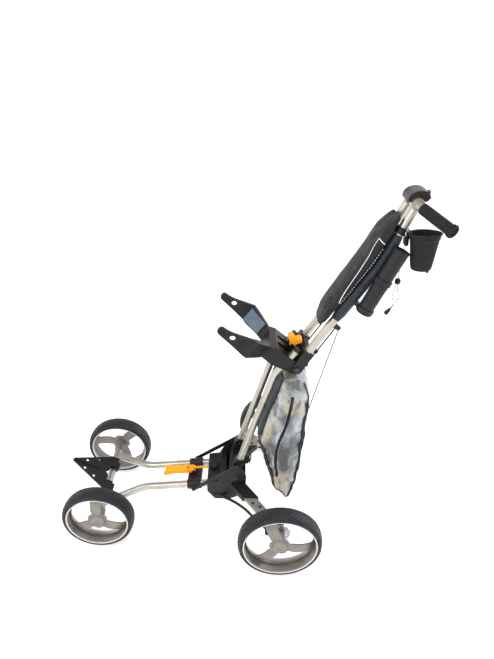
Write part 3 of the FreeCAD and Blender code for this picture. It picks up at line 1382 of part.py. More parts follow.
def grip(side_name, side):
    """A foam grip with a flange and a closed, recessed end."""
    body = new_body(f"grip_{side_name}", **HANDLE_FRAME)
    section = new_sketch(body, f"grip_section_{side_name}", "XY_Plane")
    outline(section, [along_grip(side, distance, across) for distance, across in (
        (GRIP_START, "handle_bar_radius"),
        (GRIP_START, "grip_radius - 1"),
        (f"{GRIP_START} + 2", "grip_radius"),
        (f"{GRIP_END} - 13", "grip_radius"),
        (f"{GRIP_END} - 10", "grip_radius - 1.5"),
        (f"{GRIP_END} - 8", "grip_radius + 2.5"),
        (f"{GRIP_END} - 2", "grip_radius + 3"),
        (GRIP_END, "grip_radius + 1.5"),
        (GRIP_END, "grip_radius - 2"),
        (f"{GRIP_END} - 3", "grip_radius - 4"),
        (f"{GRIP_END} - 3", "0"),
        (f"{GRIP_END} - 6", "0"),
        (f"{GRIP_END} - 6", "handle_bar_radius"),
    )])
    ends = [along_grip(side, distance, "0") for distance in (GRIP_START, GRIP_END)]
    line = Part.LineSegment(*(Vector(number(x), number(y), 0) for x, y in ends))
    axis = section.addGeometry(line, True)
    for vertex, (x, y) in zip((1, 2), ends):
        pin_point(section, axis, vertex, x, y)
    revolve(body, section)
    keep(body)


BUTTON_RADIUS = "6"


def handle_knuckle():
    """The domed clamp that holds the middle of the bar between the two eyes."""
    body = new_body("knuckle_blank", at=("0", "handle_y", "handle_z"))
    dome = new_sketch(body, "dome_outline", "YZ_Plane")
    outline(dome, [
        ("-24", "5"),
        ("0", "0"),
        ("27", "6"),
        ("34", "15"),
        ("29", "26", "9"),
        ("22", "30.5", "40"),
        ("-7", "30", "26"),
        ("-22", "18", "30"),
    ])
    pad(body, dome, "60")
    collar = new_sketch(body, "bar_collar", "YZ_Plane")
    circle(collar, "0", "0", "handle_bar_radius + 5")
    inside = f"({upper_tube_x('handle_z')} - eye_width / 2 - side_clearance)"
    pad(body, collar, f"2 * {inside}")
    for side in (1, -1):
        room = new_sketch(body, f"eye_room_{2 - side}", "YZ_Plane", offset=side_plane(side, inside))
        circle(room, "0", "0", "eye_radius + 0.6")
        pocket(body, room, "40", symmetric=False, back=side > 0)
    bore = new_sketch(body, "bar_bore", "YZ_Plane")
    circle(bore, "0", "0", "handle_bar_radius")
    pocket(body, bore, "80")
    return body


def knuckle_button(knuckle):
    """The push button in the dome's rear face. It slides in a blind hole of the knuckle."""
    frame = dict(at=("0", "handle_y + 12", "handle_z + 15"), axis=X_AXIS, angle="16")
    body = new_body("knuckle_button", **frame)
    section = new_sketch(body, "button_section", "XY_Plane")
    outline(section, [
        ("0", "6"),
        (BUTTON_RADIUS, "6"),
        (BUTTON_RADIUS, "26", "4"),
        (f"{BUTTON_RADIUS} - 3", "28.5"),
        ("0", "28.5"),
    ])
    revolve(body, section, "Y_Axis")
    keep(body)
    hole = doc.addObject("Part::Cylinder", "button_hole")
    hole.Label = "button_hole"
    hole.Radius = number(f"{BUTTON_RADIUS} + running_clearance")
    hole.setExpression("Radius", bound(f"{BUTTON_RADIUS} + running_clearance"))
    hole.Height = 40
    out = body.Placement.Rotation.multVec(Y_AXIS)
    hole.Placement = Placement(body.Placement.Base + out * 1.5, Rotation(Z_AXIS, out))
    keep(cut_away("handle_knuckle", knuckle, hole))


handle_bar()
for side_name, side in SIDES:
    grip(side_name, side)
knuckle_button(handle_knuckle())


# ---------------------------------------------------------------- rear legs

def leg_z(x):
    """Height of a rear leg's middle at a distance from the centre plane."""
    return f"(leg_start_z - (({x}) - leg_start_x) * tan(leg_slope))"


def leg_y(x):
    return f"(leg_start_y + leg_sweep * (({x}) - leg_start_x))"


def slanted_bar(label, side, start, end, extra):
    """A flat bar that slopes down and back as it runs outwards, its ends upright and square to X."""
    bar = new_body(label)
    high = f"(leg_thickness / 2 + {extra})"
    wide = f"(leg_half_width + {extra})"
    front_view = new_sketch(bar, f"{label}_front", "XZ_Plane")
    outline(front_view, [(f"{side} * ({x})", f"{leg_z(x)} {sign} {high}") for x, sign in (
        (start, "-"), (end, "-"), (end, "+"), (start, "+"),
    )])
    pad(bar, front_view, "2 * block_outer")
    plan = new_sketch(bar, f"{label}_plan", "XY_Plane")
    outline(plan, [(f"{side} * ({x})", f"{leg_y(x)} {sign} {wide}") for x, sign in (
        (f"{start} - 5", "-"), (f"{end} + 5", "-"), (f"{end} + 5", "+"), (f"{start} - 5", "+"),
    )])
    box_outline(plan, "-2 * block_outer", "2 * block_outer", "-3 * block_outer", "3 * block_outer")
    pocket(bar, plan, "4 * block_outer")
    return bar


def rear_leg(side_name, side):
    leg = keep(slanted_bar(f"leg_{side_name}", side, "cheek_outer", "block_inner", "0"))
    cover = slanted_bar(f"knee_cover_{side_name}", side, "cheek_outer + 0.3", "cover_end_x", "cover_wall")
    return cut_away(f"knee_shell_{side_name}", cover, leg)


def leg_screws():
    """Two screw heads on top of each rear leg."""
    members = []
    for side_name, side in SIDES:
        for x, shift in (("144", "-7"), ("158", "5")):
            top = f"{leg_z(x)} + leg_thickness / 2 / cos(leg_slope)"
            head = new_body(f"leg_screw_{side_name}", at=(f"{side} * ({x})", f"{leg_y(x)} + {shift}", top),
                            axis=Y_AXIS, angle=f"{side} * leg_slope")
            disc = new_sketch(head, f"screw_disc_{side_name}", "XY_Plane")
            circle(disc, "0", "0", "4")
            pad(head, disc, "2.2", symmetric=False)
            members.append(head)
    group("leg_screws", members)


def axle_blocks():
    members = []
    for side_name, side in SIDES:
        block = new_body(f"axle_block_{side_name}")
        profile = new_sketch(block, f"block_profile_{side_name}", "YZ_Plane", offset=side_plane(side, "block_inner"))
        outline(profile, [
            ("-44", "rear_wheel_radius - 16"),
            ("-38", "rear_wheel_radius - 21"),
            ("8", "rear_wheel_radius - 21"),
            ("16", "rear_wheel_radius - 13"),
            ("16", "rear_wheel_radius + 13"),
            ("8", "rear_wheel_radius + 21"),
            ("-38", "rear_wheel_radius + 21"),
            ("-44", "rear_wheel_radius + 16"),
        ])
        pad(block, profile, "block_outer - block_inner", symmetric=False, back=side < 0)
        hole = new_sketch(block, f"block_hole_{side_name}", "YZ_Plane")
        circle(hole, "0", "rear_wheel_radius", "axle_radius")
        pocket(block, hole, "3 * block_outer")
        members.append(block)
    return group("axle_blocks", members)


def axle_pins():
    """One pin through the front cross tube, and a stub axle on each rear block."""
    front_end = "(front_track_half + web_dish - 6 + 2)"
    rear_end = "(rear_track_half + web_dish - 6 + 2)"
    group("axle_pins", [
        cylinder("front_pin", "axle_radius", (f"-{front_end}", "front_axle_y", "front_wheel_radius"), front_end),
        cylinder("rear_pin_left", "axle_radius", ("block_inner", "0", "rear_wheel_radius"), rear_end),
        cylinder("rear_pin_right", "axle_radius", (f"-{rear_end}", "0", "rear_wheel_radius"), "-block_inner"),
    ])


# ---------------------------------------------------------------- cords and cables

def cord_solid(label, points, radius):
    """A round cord: straight runs joined by tangent arcs. Prints the bend radii."""
    corners = [Vector(*(number(value) for value in point)) for point in points]
    edges = []
    bends = []
    at = corners[0]
    for before, corner, after in zip(corners, corners[1:], corners[2:]):
        back, ahead = before - corner, after - corner
        cut = 0.45 * min(back.Length, ahead.Length)
        back.normalize()
        ahead.normalize()
        half_turn = (math.pi - back.getAngle(ahead)) / 2
        bend = cut / math.tan(half_turn)
        inwards = (back + ahead).normalize()
        middle = corner + inwards * (bend / math.cos(half_turn) - bend)
        edges.append(Part.makeLine(at, corner + back * cut))
        edges.append(Part.Arc(corner + back * cut, middle, corner + ahead * cut).toShape())
        at = corner + ahead * cut
        bends.append(round(bend, 1))
    edges.append(Part.makeLine(at, corners[-1]))
    end_face = Part.Wire([Part.makeCircle(number(radius), corners[0], corners[1] - corners[0])])
    feature = doc.addObject("Part::Feature", label)
    feature.Label = label
    feature.Shape = Part.Wire(edges).makePipeShell([end_face], True, True)
    feature.Placement = Placement(Vector(0, number("rear_axle_y"), 0), Rotation())
    feature.setExpression("Placement.Base.y", bound("rear_axle_y"))
    doc.recompute()
    print(f"{label}: bend radii {bends} mm, diameter {2 * number(radius)} mm")
    return feature


def leg_bands(hub, blocks):
    """The cable sleeves that run from the hub to the axle blocks, below and in front of the legs."""
    members = []
    for side_name, side in SIDES:
        route = [
            ("cheek_outer - 5", "-194", "97"),
            ("105", "-142", "108"),
            ("145", "-102", "113"),
            ("185", "-73", "112"),
            ("224", "-41", "119"),
        ]
        points = [(f"{side} * ({x})", y, z) for x, y, z in route]
        sleeve = cord_solid(f"leg_sleeve_{side_name}", points, "band_radius")
        members.append(cut_away(f"leg_band_{side_name}", cut_away(f"sleeve_end_{side_name}", sleeve, hub), blocks))
    group("leg_bands", members)


group("knee_covers", [rear_leg(side_name, side) for side_name, side in SIDES])
leg_screws()
axle_pins()
leg_bands(hub_part, axle_blocks())


# ---------------------------------------------------------------- attachments of the upper mast

def tube_room(side_name, side):
    """The space that an upper tube takes up, for cutting it out of clamps."""
    room = new_body(f"tube_room_{side_name}")
    path = taper_sketch(room, f"room_path_{side_name}", side)
    bent_path(path, upper_path(), "upper_bend")
    follow(room, path, ["upper_tube_radius"])
    return room


UMBRELLA_FRAME = dict(at=("umbrella_x", "umbrella_y", "umbrella_z"), axis=X_AXIS, angle="-umbrella_lean")


def umbrella_tube():
    """A round cup for the umbrella, with a drain hole in its floor and two raised bands."""
    tube = new_body("umbrella_tube", **UMBRELLA_FRAME)
    foot = new_sketch(tube, "umbrella_foot", "XY_Plane")
    circle(foot, "0", "0", "umbrella_radius")
    pad(tube, foot, "umbrella_length", symmetric=False)
    for name, start, height, extra in (("rim", "umbrella_length - 6", "5", "1.2"), ("band", "umbrella_length / 2 - 12", "3", "1")):
        ring = new_sketch(tube, f"umbrella_{name}", "XY_Plane", offset=start)
        circle(ring, "0", "0", f"umbrella_radius + {extra}")
        pad(tube, ring, height, symmetric=False)
    inside = new_sketch(tube, "umbrella_inside", "XY_Plane", offset="4")
    circle(inside, "0", "0", "umbrella_radius - umbrella_wall")
    pocket(tube, inside, "umbrella_length", symmetric=False, back=True)
    drain = new_sketch(tube, "umbrella_drain", "XY_Plane")
    circle(drain, "0", "0", "5")
    pocket(tube, drain, "30")
    keep(tube)


def umbrella_clamps(room):
    """Two rings round the umbrella tube, each on a short arm that grips the left upper tube."""
    members = []
    for name, level, x, y in (("low", "4", "-30.5", "-36.7"), ("high", "97", "-34", "-20.6")):
        clamp = new_body(f"umbrella_clamp_{name}", **UMBRELLA_FRAME)
        shape = new_sketch(clamp, f"clamp_ring_{name}", "XY_Plane", offset=level)
        circle(shape, "0", "0", "umbrella_radius + 3.5")
        pad(clamp, shape, "14", symmetric=False)
        arm = new_sketch(clamp, f"clamp_arm_{name}", "XY_Plane", offset=f"{level} + 1.5")
        outline(arm, [("-6", "6"), (f"{x} + 1", f"{y} + 12"), (f"{x} + 12", f"{y} + 1"), ("6", "-8")])
        pad(clamp, arm, "11", symmetric=False)
        grip_ring = new_sketch(clamp, f"clamp_grip_{name}", "XY_Plane", offset=f"{level} + 1.5")
        circle(grip_ring, x, y, "upper_tube_radius + 1.5")
        pad(clamp, grip_ring, "11", symmetric=False)
        hole = new_sketch(clamp, f"clamp_hole_{name}", "XY_Plane", offset=level)
        circle(hole, "0", "0", "umbrella_radius")
        pocket(clamp, hole, "80")
        members.append(cut_away(f"umbrella_grip_{name}", clamp, room))
    group("umbrella_clamps", members)


def console_pouch():
    """The padded pouch across the front of the two upper tubes."""
    pouch = new_body("console_pouch")
    side_view = new_sketch(pouch, "pouch_outline", "YZ_Plane")
    outline(side_view, [
        ("115.6", "745.4"),
        ("249", "940.9"),
        ("304.5", "1066"),
        ("299.7", "1070"),
        ("257.7", "1035.6"),
        ("218.5", "958.5"),
        ("143.5", "836.5"),
        ("104.8", "752.6"),
    ])
    pad(pouch, side_view, "2 * console_half_width")
    keep(pouch)


def oval(sketch, x, y, radius, half_length):
    """A rounded outline, longer along Y: two half circles and two straight sides."""
    straight = f"({half_length} - ({radius}))"
    return outline(sketch, [
        (f"{x} + {radius}", f"{y} - {straight}"),
        (f"{x} + {radius}", f"{y} + {straight}", f"({radius}) * 1.0001"),
        (f"{x} - ({radius})", f"{y} + {straight}"),
        (f"{x} - ({radius})", f"{y} - {straight}", f"({radius}) * 1.0001"),
    ])


def mesh_bag():
    """A small open bag with an oval mouth, tied to the left upper tube."""
    bag = new_body("mesh_bag", at=("mesh_bag_x", "mesh_bag_y", "mesh_bag_z"))
    for kind, wall, floor in (("Additive", "0", "0"), ("Subtractive", "mesh_bag_wall", "mesh_bag_wall")):
        low = new_sketch(bag, f"{kind}_floor", "XY_Plane", offset=floor)
        oval(low, "0", "0", f"(mesh_bag_radius - 3 - {wall})", f"(mesh_bag_half_length - 12 - {wall})")
        top = new_sketch(bag, f"{kind}_mouth", "XY_Plane", offset="mesh_bag_height")
        oval(top, "0", "-3", f"(mesh_bag_radius - {wall})", f"(mesh_bag_half_length - {wall})")
        loft = bag.newObject(f"PartDesign::{kind}Loft", f"{kind}Loft")
        loft.Profile = low
        loft.Sections = [top]
        loft.Ruled = True
        settle(loft)
    keep(bag)


BRAKE_Z = "1030"
BRAKE_PIVOT = ("323", "1028")


def brake_clamp(room):
    """The clamp of the brake lever on the left upper tube, with a fork for the lever at its rear."""
    lean = math.degrees(math.atan2(number("handle_y - upper_second_y"), number("handle_z - upper_second_z")))
    axis_y = f"(upper_second_y + ({BRAKE_Z} - upper_second_z) * (handle_y - upper_second_y) / (handle_z - upper_second_z))"
    clamp = new_body("brake_clamp_blank", at=(upper_tube_x(BRAKE_Z), axis_y, BRAKE_Z), axis=X_AXIS, angle=f"-({lean:.6f})")
    ring = new_sketch(clamp, "brake_ring", "XY_Plane")
    circle(ring, "0", "0", "upper_tube_radius + 3.5")
    pad(clamp, ring, "18")
    block = new_sketch(clamp, "brake_block", "XY_Plane")
    box_outline(block, "-24", "-2", "2", "24")
    pad(clamp, block, "18")
    slot = new_sketch(clamp, "brake_slot", "XY_Plane")
    box_outline(slot, "-20.5", "-9.5", "9.6", "40")
    pocket(clamp, slot, "60")
    pin = new_sketch(clamp, "brake_pin", "YZ_Plane", offset="-15")
    out = f"({BRAKE_PIVOT[0]} - {axis_y})"
    up = f"({BRAKE_PIVOT[1]} - {BRAKE_Z})"
    across = f"{out} * cos({lean:.6f}) - {up} * sin({lean:.6f})"
    height = f"{out} * sin({lean:.6f}) + {up} * cos({lean:.6f})"
    circle(pin, across, height, "2.5")
    pad(clamp, pin, "16")
    keep(cut_away("brake_clamp", clamp, room))


def brake_lever():
    """The lever that pulls the brake cable. It hangs from the pin of its clamp."""
    lever = new_body("brake_lever", at=(f"{upper_tube_x(BRAKE_Z)} - 15", "0", "0"))
    y, z = BRAKE_PIVOT
    side_view = new_sketch(lever, "lever_side", "YZ_Plane")
    outline(side_view, [
        (f"{y} - 4", z, "-5.6"),
        (f"{y} + 5", f"{z} + 4"),
        (f"{y} + 9", f"{z} - 8"),
        (f"{y} + 10", f"{z} - 40", "-6.2"),
        (f"{y} - 2", f"{z} - 40"),
        (f"{y} - 1", f"{z} - 14"),
    ])
    pad(lever, side_view, "10")
    paddle = new_sketch(lever, "lever_paddle", "YZ_Plane")
    outline(paddle, [
        (f"{y} + 9.5", f"{z} - 20"),
        (f"{y} + 10", f"{z} - 40", "-6.2"),
        (f"{y} - 2", f"{z} - 40"),
        (f"{y} - 1.5", f"{z} - 24"),
    ])
    pad(lever, paddle, "16")
    bore = new_sketch(lever, "lever_bore", "YZ_Plane")
    circle(bore, y, z, "2.5 + running_clearance")
    pocket(lever, bore, "40")
    keep(lever)


def tube_x(side, z):
    """The middle of an upper tube at a height, on one side of the cart."""
    return f"({side} * {upper_tube_x(z)})"


def cable_housings():
    """The thin sleeves that run down behind the upper tubes and end in ears on the upper yoke."""
    members = []
    for side_name, side, top in (("left", 1, ("160", "753")), ("right", -1, ("140", "723"))):
        bend_y, bend_z = beside_hinge("76", "-collar_radius - 5.5")
        low_y, low_z = beside_hinge("26", "-collar_radius - 5.5")
        members.append(cord_solid(f"cable_housing_{side_name}", [
            (tube_x(side, top[1]), *top),
            (tube_x(side, bend_z), bend_y, bend_z),
            (tube_x(side, bend_z), low_y, low_z),
        ], "housing_radius"))
    return group("cable_housings", members)


# The clips below the upper tubes: name, side, y, z and how far each reaches behind the housing.
GUIDES = (
    ("left_high", 1, "157", "749", "13"),
    ("left_low", 1, *beside_hinge("74", "-collar_radius - 5.5"), "4"),
    ("right_high", -1, "137", "719", "4"),
)


def cable_guides(rooms, housings, cable):
    members = []
    for name, side, y, z, reach in GUIDES:
        guide = new_body(f"guide_{name}", at=(tube_x(side, z), y, z), axis=X_AXIS, angle="-34.4")
        block = new_sketch(guide, f"guide_block_{name}", "YZ_Plane")
        outline(block, [("-14", "-7"), (f"{reach} - 4", "-7"), (reach, "-3"), (reach, "5"), ("-14", "9")])
        pad(guide, block, "9")
        clip = cut_away(f"guide_clip_{name}", guide, rooms[side])
        members.append(cut_away(f"cable_guide_{name}", cut_away(f"guide_slot_{name}", clip, housings), cable))
    group("cable_guides", members)


def brake_cable():
    """The bare cable that runs straight from the high left guide to the back of the storage bag."""
    return keep(cord_solid("brake_cable", [("46.8", "164.8", "743"), ("74", "90.6", "478")], "cable_radius"))


LOCK = ("46", "313", "882.5")
TOGGLE = ("46", "303.5", "806")


def drawstring():
    """The cord of the mesh bag: one strand down to the cord lock, two strands from there to the end toggle."""
    x, y, z = LOCK
    end_x, end_y, end_z = TOGGLE
    above_toggle = (f"{end_y} + 9.6", f"{end_z} + 12.8")
    group("drawstring", [
        cord_solid("drawstring_upper", [
            (f"{x} + 4", "317.5", "1028"),
            (f"{x} + 1.5", "319", "990"),
            (f"{x} + 0.5", "316", "950"),
            (x, y, "922"),
            (x, y, f"{z} + 15"),
        ], "drawstring_radius"),
        cord_solid("drawstring_front", [
            (f"{x} - 2.5", f"{y} - 2", z),
            (f"{x} - 2.5", f"{y} - 2", f"{z} - 16.5"),
            (f"{x} - 3.5", f"{y} - 11", f"{z} - 37.5"),
            (f"{end_x} - 1.4", *above_toggle),
            (f"{end_x} - 1.4", end_y, end_z),
        ], "drawstring_radius"),
        cord_solid("drawstring_rear", [
            (f"{x} + 2.5", f"{y} + 1", z),
            (f"{x} + 2.5", f"{y} + 1", f"{z} - 16.5"),
            (f"{x} + 4.5", f"{y} + 8.5", f"{z} - 39.5"),
            (f"{end_x} + 1.4", *above_toggle),
            (f"{end_x} + 1.4", end_y, end_z),
        ], "drawstring_radius"),
    ])


def cord_toggles():
    """The cord lock below the mesh bag and the toggle on the end of the drawstring."""
    lock = new_body("cord_lock", at=LOCK)
    profile = new_sketch(lock, "lock_profile", "XZ_Plane")
    outline(profile, [("0", "0"), ("6", "0"), ("8", "3"), ("8", "11"), ("5", "15"), ("0", "15")])
    revolve(lock, profile, "Z_Axis")
    toggle = new_body("end_toggle", at=TOGGLE, axis=X_AXIS, angle="-36.87")
    profile = new_sketch(toggle, "toggle_profile", "XZ_Plane")
    outline(profile, [("0", "0"), ("3.6", "0"), ("4.4", "-4"), ("6.4", "-16"), ("5", "-21"), ("0", "-21")])
    revolve(toggle, profile, "Z_Axis")
    group("cord_toggles", [lock, toggle])


rooms = {side: tube_room(side_name, side) for side_name, side in SIDES}
umbrella_tube()
umbrella_clamps(rooms[1])
console_pouch()
mesh_bag()
brake_clamp(rooms[1])
brake_lever()
cable_guides(rooms, cable_housings(), brake_cable())
drawstring()
cord_toggles()


# ---------------------------------------------------------------- checks and export

doc.recompute()
for item in doc.Objects:
    if {"Invalid", "Error"} & set(item.State):
        raise ValueError(f"{item.Label} is in state {item.State}")
for node in nodes:
    if node.Shape.isNull() or not node.Shape.isValid():
        raise ValueError(f"the shape of {node.Label} is not valid")
if len({node.Label for node in nodes}) != len(nodes):
    raise ValueError("two parts share a name")

os.makedirs("parts", exist_ok=True)
for node in nodes:
    node.Shape.exportStep(f"parts/{node.Label}.step")
print(f"{len(nodes)} parts exported")
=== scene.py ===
"""A folding golf push cart: camera, cords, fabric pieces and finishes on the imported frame."""

import json
import math

import bmesh
import bpy
from mathutils import Matrix, Vector, noise
from mathutils.bvhtree import BVHTree


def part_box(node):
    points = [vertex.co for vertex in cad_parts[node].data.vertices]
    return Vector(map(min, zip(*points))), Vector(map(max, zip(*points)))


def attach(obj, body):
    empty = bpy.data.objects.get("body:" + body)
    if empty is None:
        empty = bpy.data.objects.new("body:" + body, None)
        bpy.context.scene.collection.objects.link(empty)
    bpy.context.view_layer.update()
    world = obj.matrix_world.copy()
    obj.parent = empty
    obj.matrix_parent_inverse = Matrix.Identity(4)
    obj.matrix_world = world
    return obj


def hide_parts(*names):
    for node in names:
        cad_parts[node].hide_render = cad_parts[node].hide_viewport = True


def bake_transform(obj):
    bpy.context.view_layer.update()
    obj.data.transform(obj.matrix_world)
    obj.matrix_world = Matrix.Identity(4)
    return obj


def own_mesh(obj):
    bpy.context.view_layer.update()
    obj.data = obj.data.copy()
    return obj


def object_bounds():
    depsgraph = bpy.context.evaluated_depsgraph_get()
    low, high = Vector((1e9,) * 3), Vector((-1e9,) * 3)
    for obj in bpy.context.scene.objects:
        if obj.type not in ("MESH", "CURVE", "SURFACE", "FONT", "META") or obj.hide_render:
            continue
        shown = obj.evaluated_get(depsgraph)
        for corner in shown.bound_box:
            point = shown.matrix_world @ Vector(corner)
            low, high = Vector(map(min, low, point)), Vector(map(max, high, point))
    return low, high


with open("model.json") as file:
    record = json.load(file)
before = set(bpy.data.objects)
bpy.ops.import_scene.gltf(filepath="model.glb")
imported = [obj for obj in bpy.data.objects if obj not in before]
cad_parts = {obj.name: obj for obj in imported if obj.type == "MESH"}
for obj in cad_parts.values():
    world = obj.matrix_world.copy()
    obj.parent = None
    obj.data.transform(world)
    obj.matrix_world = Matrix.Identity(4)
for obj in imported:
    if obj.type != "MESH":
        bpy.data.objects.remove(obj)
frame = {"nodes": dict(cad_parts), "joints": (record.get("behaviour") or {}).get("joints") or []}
cad_box = [list(corner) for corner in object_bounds()]

MM = 0.001
PIVOTS = {joint["name"]: Vector(joint["pos_m"]) for joint in frame["joints"] if "pos_m" in joint}
REAR_AXLE_Y = PIVOTS["rear_wheel_l_spin"].y
WHEELS = ("front_wheel_l", "front_wheel_r", "rear_wheel_l", "rear_wheel_r")


def at(x, y, z):
    """A point from millimetres: y back from the rear axle, z up from the ground."""
    return Vector((x * MM, REAR_AXLE_Y + y * MM, z * MM))


def collection_add(obj):
    bpy.context.scene.collection.objects.link(obj)
    return obj


# ---------------------------------------------------------------- camera

CAMERA_PLACE = at(1367.5, -94.2, 1491.4)
CAMERA_LENS = 28.97
CAMERA_PITCH = 29.6345
CAMERA_YAW = -0.1705
CAMERA_ROLL = -0.2318


def add_camera():
    """The photograph's viewpoint: from the cart's left, looking down at it."""
    pitch = math.radians(CAMERA_PITCH)
    yaw = math.radians(CAMERA_YAW)
    roll = math.radians(CAMERA_ROLL)
    forward = Vector((
        -math.cos(yaw) * math.cos(pitch),
        math.sin(yaw) * math.cos(pitch),
        -math.sin(pitch),
    ))
    right = forward.cross(Vector((0, 0, 1))).normalized()
    up = right.cross(forward)
    rolled_right = right * math.cos(roll) + up * math.sin(roll)
    rolled_up = up * math.cos(roll) - right * math.sin(roll)
    data = bpy.data.cameras.new("camera")
    data.lens = CAMERA_LENS
    camera = collection_add(bpy.data.objects.new("camera", data))
    turn = Matrix((rolled_right, rolled_up, -forward)).transposed().to_4x4()
    camera.matrix_world = Matrix.Translation(CAMERA_PLACE) @ turn
    bpy.context.scene.camera = camera


add_camera()


# ---------------------------------------------------------------- finishes

def lit(color):
    return (*color, 1.0)


class Finish:
    """A Principled material with colour, roughness and relief from textures in object space."""

    def __init__(self, name, color, roughness, metallic=0.0, **sockets):
        self.material = bpy.data.materials.new(name)
        self.material.use_nodes = True
        self.nodes = self.material.node_tree.nodes
        self.links = self.material.node_tree.links
        self.shader = self.nodes["Principled BSDF"]
        self.shader.inputs["Base Color"].default_value = lit(color)
        self.shader.inputs["Roughness"].default_value = roughness
        self.shader.inputs["Metallic"].default_value = metallic
        for socket, value in sockets.items():
            self.shader.inputs[socket.replace("_", " ")].default_value = value
        self.place = self.nodes.new("ShaderNodeTexCoord").outputs["Object"]
        self.relief = None
        self.color = None

    def stretched(self, scale, turn=(0, 0, 0)):
        mapping = self.nodes.new("ShaderNodeMapping")
        mapping.inputs["Scale"].default_value = scale
        mapping.inputs["Rotation"].default_value = turn
        self.links.new(self.place, mapping.inputs["Vector"])
        return mapping.outputs["Vector"]

    def cloud(self, scale, detail=4.0, stretch=(1, 1, 1), turn=(0, 0, 0)):
        texture = self.nodes.new("ShaderNodeTexNoise")
        texture.inputs["Scale"].default_value = scale
        texture.inputs["Detail"].default_value = detail
        self.links.new(self.stretched(stretch, turn), texture.inputs["Vector"])
        return texture.outputs["Fac"]

    def bands(self, direction, scale, distortion=0.0):
        texture = self.nodes.new("ShaderNodeTexWave")
        texture.bands_direction = direction
        texture.inputs["Scale"].default_value = scale
        texture.inputs["Distortion"].default_value = distortion
        self.links.new(self.place, texture.inputs["Vector"])
        return texture.outputs["Fac"]

    def cells(self, scale, stretch=(1, 1, 1)):
        texture = self.nodes.new("ShaderNodeTexVoronoi")
        texture.feature = "DISTANCE_TO_EDGE"
        texture.inputs["Scale"].default_value = scale
        self.links.new(self.stretched(stretch), texture.inputs["Vector"])
        return texture.outputs["Distance"]

    def blend_colors(self, amount, low, high, first, second):
        """Colour goes from first to second as amount rises from low to high."""
        ramp = self.nodes.new("ShaderNodeValToRGB")
        ramp.color_ramp.elements[0].position = low
        ramp.color_ramp.elements[0].color = lit(first)
        ramp.color_ramp.elements[1].position = high
        ramp.color_ramp.elements[1].color = lit(second)
        self.links.new(amount, ramp.inputs["Fac"])
        self.color = ramp.outputs["Color"]
        self.links.new(self.color, self.shader.inputs["Base Color"])
        return self

    def layer_color(self, amount, low, high, over):
        """A second colour is laid over the first one as amount rises from low to high."""
        share = self.ranged(amount, low, high, 0.0, 1.0)
        mix = self.nodes.new("ShaderNodeMix")
        mix.data_type = "RGBA"
        self.links.new(share, mix.inputs["Factor"])
        self.links.new(self.color, mix.inputs["A"])
        mix.inputs["B"].default_value = lit(over)
        self.color = mix.outputs["Result"]
        self.links.new(self.color, self.shader.inputs["Base Color"])
        return self

    def ranged(self, amount, low, high, to_low, to_high):
        node = self.nodes.new("ShaderNodeMapRange")
        sockets = ("From Min", "From Max", "To Min", "To Max")
        for socket, value in zip(sockets, (low, high, to_low, to_high)):
            node.inputs[socket].default_value = value
        self.links.new(amount, node.inputs["Value"])
        return node.outputs["Result"]

    def vary_roughness(self, amount, low, high):
        self.links.new(self.ranged(amount, 0.3, 0.7, low, high), self.shader.inputs["Roughness"])
        return self

    def raise_by(self, amount, depth, strength=1.0):
        """Relief of that depth in metres, on top of what is there."""
        bump = self.nodes.new("ShaderNodeBump")
        bump.inputs["Strength"].default_value = strength
        bump.inputs["Distance"].default_value = depth
        self.links.new(amount, bump.inputs["Height"])
        if self.relief:
            self.links.new(self.relief, bump.inputs["Normal"])
        self.relief = bump.outputs["Normal"]
        self.links.new(self.relief, self.shader.inputs["Normal"])
        return self

    def from_axle(self, axle):
        """Distance from a wheel's axle line."""
        shift = self.nodes.new("ShaderNodeVectorMath")
        shift.operation = "SUBTRACT"
        shift.inputs[1].default_value = axle
        self.links.new(self.place, shift.inputs[0])
        parts = self.nodes.new("ShaderNodeSeparateXYZ")
        self.links.new(shift.outputs["Vector"], parts.inputs["Vector"])
        flat = self.nodes.new("ShaderNodeCombineXYZ")
        self.links.new(parts.outputs["Y"], flat.inputs["Y"])
        self.links.new(parts.outputs["Z"], flat.inputs["Z"])
        length = self.nodes.new("ShaderNodeVectorMath")
        length.operation = "LENGTH"
        self.links.new(flat.outputs["Vector"], length.inputs[0])
        return length.outputs["Value"]


def moulded(name, color, roughness=0.45, light=1.35):
    """Moulded plastic with a fine spark-eroded grain and slight wear."""
    finish = Finish(name, color, roughness, Specular_IOR_Level=0.3)
    brighter = tuple(min(1.0, c * light) for c in color)
    finish.blend_colors(finish.cloud(30), 0.35, 0.75, color, brighter)
    finish.vary_roughness(finish.cloud(55), roughness - 0.08, roughness + 0.12)
    finish.raise_by(finish.cloud(1400, 2), 0.00012, 0.5)
    return finish.material


def anodised(name):
    """Satin champagne tube with fine drawn lines along it."""
    finish = Finish(name, (0.66, 0.62, 0.55), 0.34, 0.88)
    finish.blend_colors(finish.cloud(18, 3, (1, 1, 0.3)), 0.3, 0.75,
                        (0.40, 0.372, 0.32), (0.54, 0.51, 0.455))
    finish.vary_roughness(finish.cloud(90, 3, (1, 1, 0.1)), 0.26, 0.42)
    finish.raise_by(finish.cloud(1800, 2, (1, 0.1, 0.06)), 0.00004, 0.4)
    return finish.material


def steel(name, color=(0.52, 0.52, 0.53), roughness=0.32):
    """Bare metal, lightly scuffed."""
    finish = Finish(name, color, roughness, 0.95)
    finish.blend_colors(finish.cloud(60), 0.3, 0.7, tuple(c * 0.8 for c in color), color)
    finish.vary_roughness(finish.cloud(300), roughness - 0.08, roughness + 0.1)
    finish.raise_by(finish.cloud(2500, 2), 0.00003, 0.4)
    return finish.material


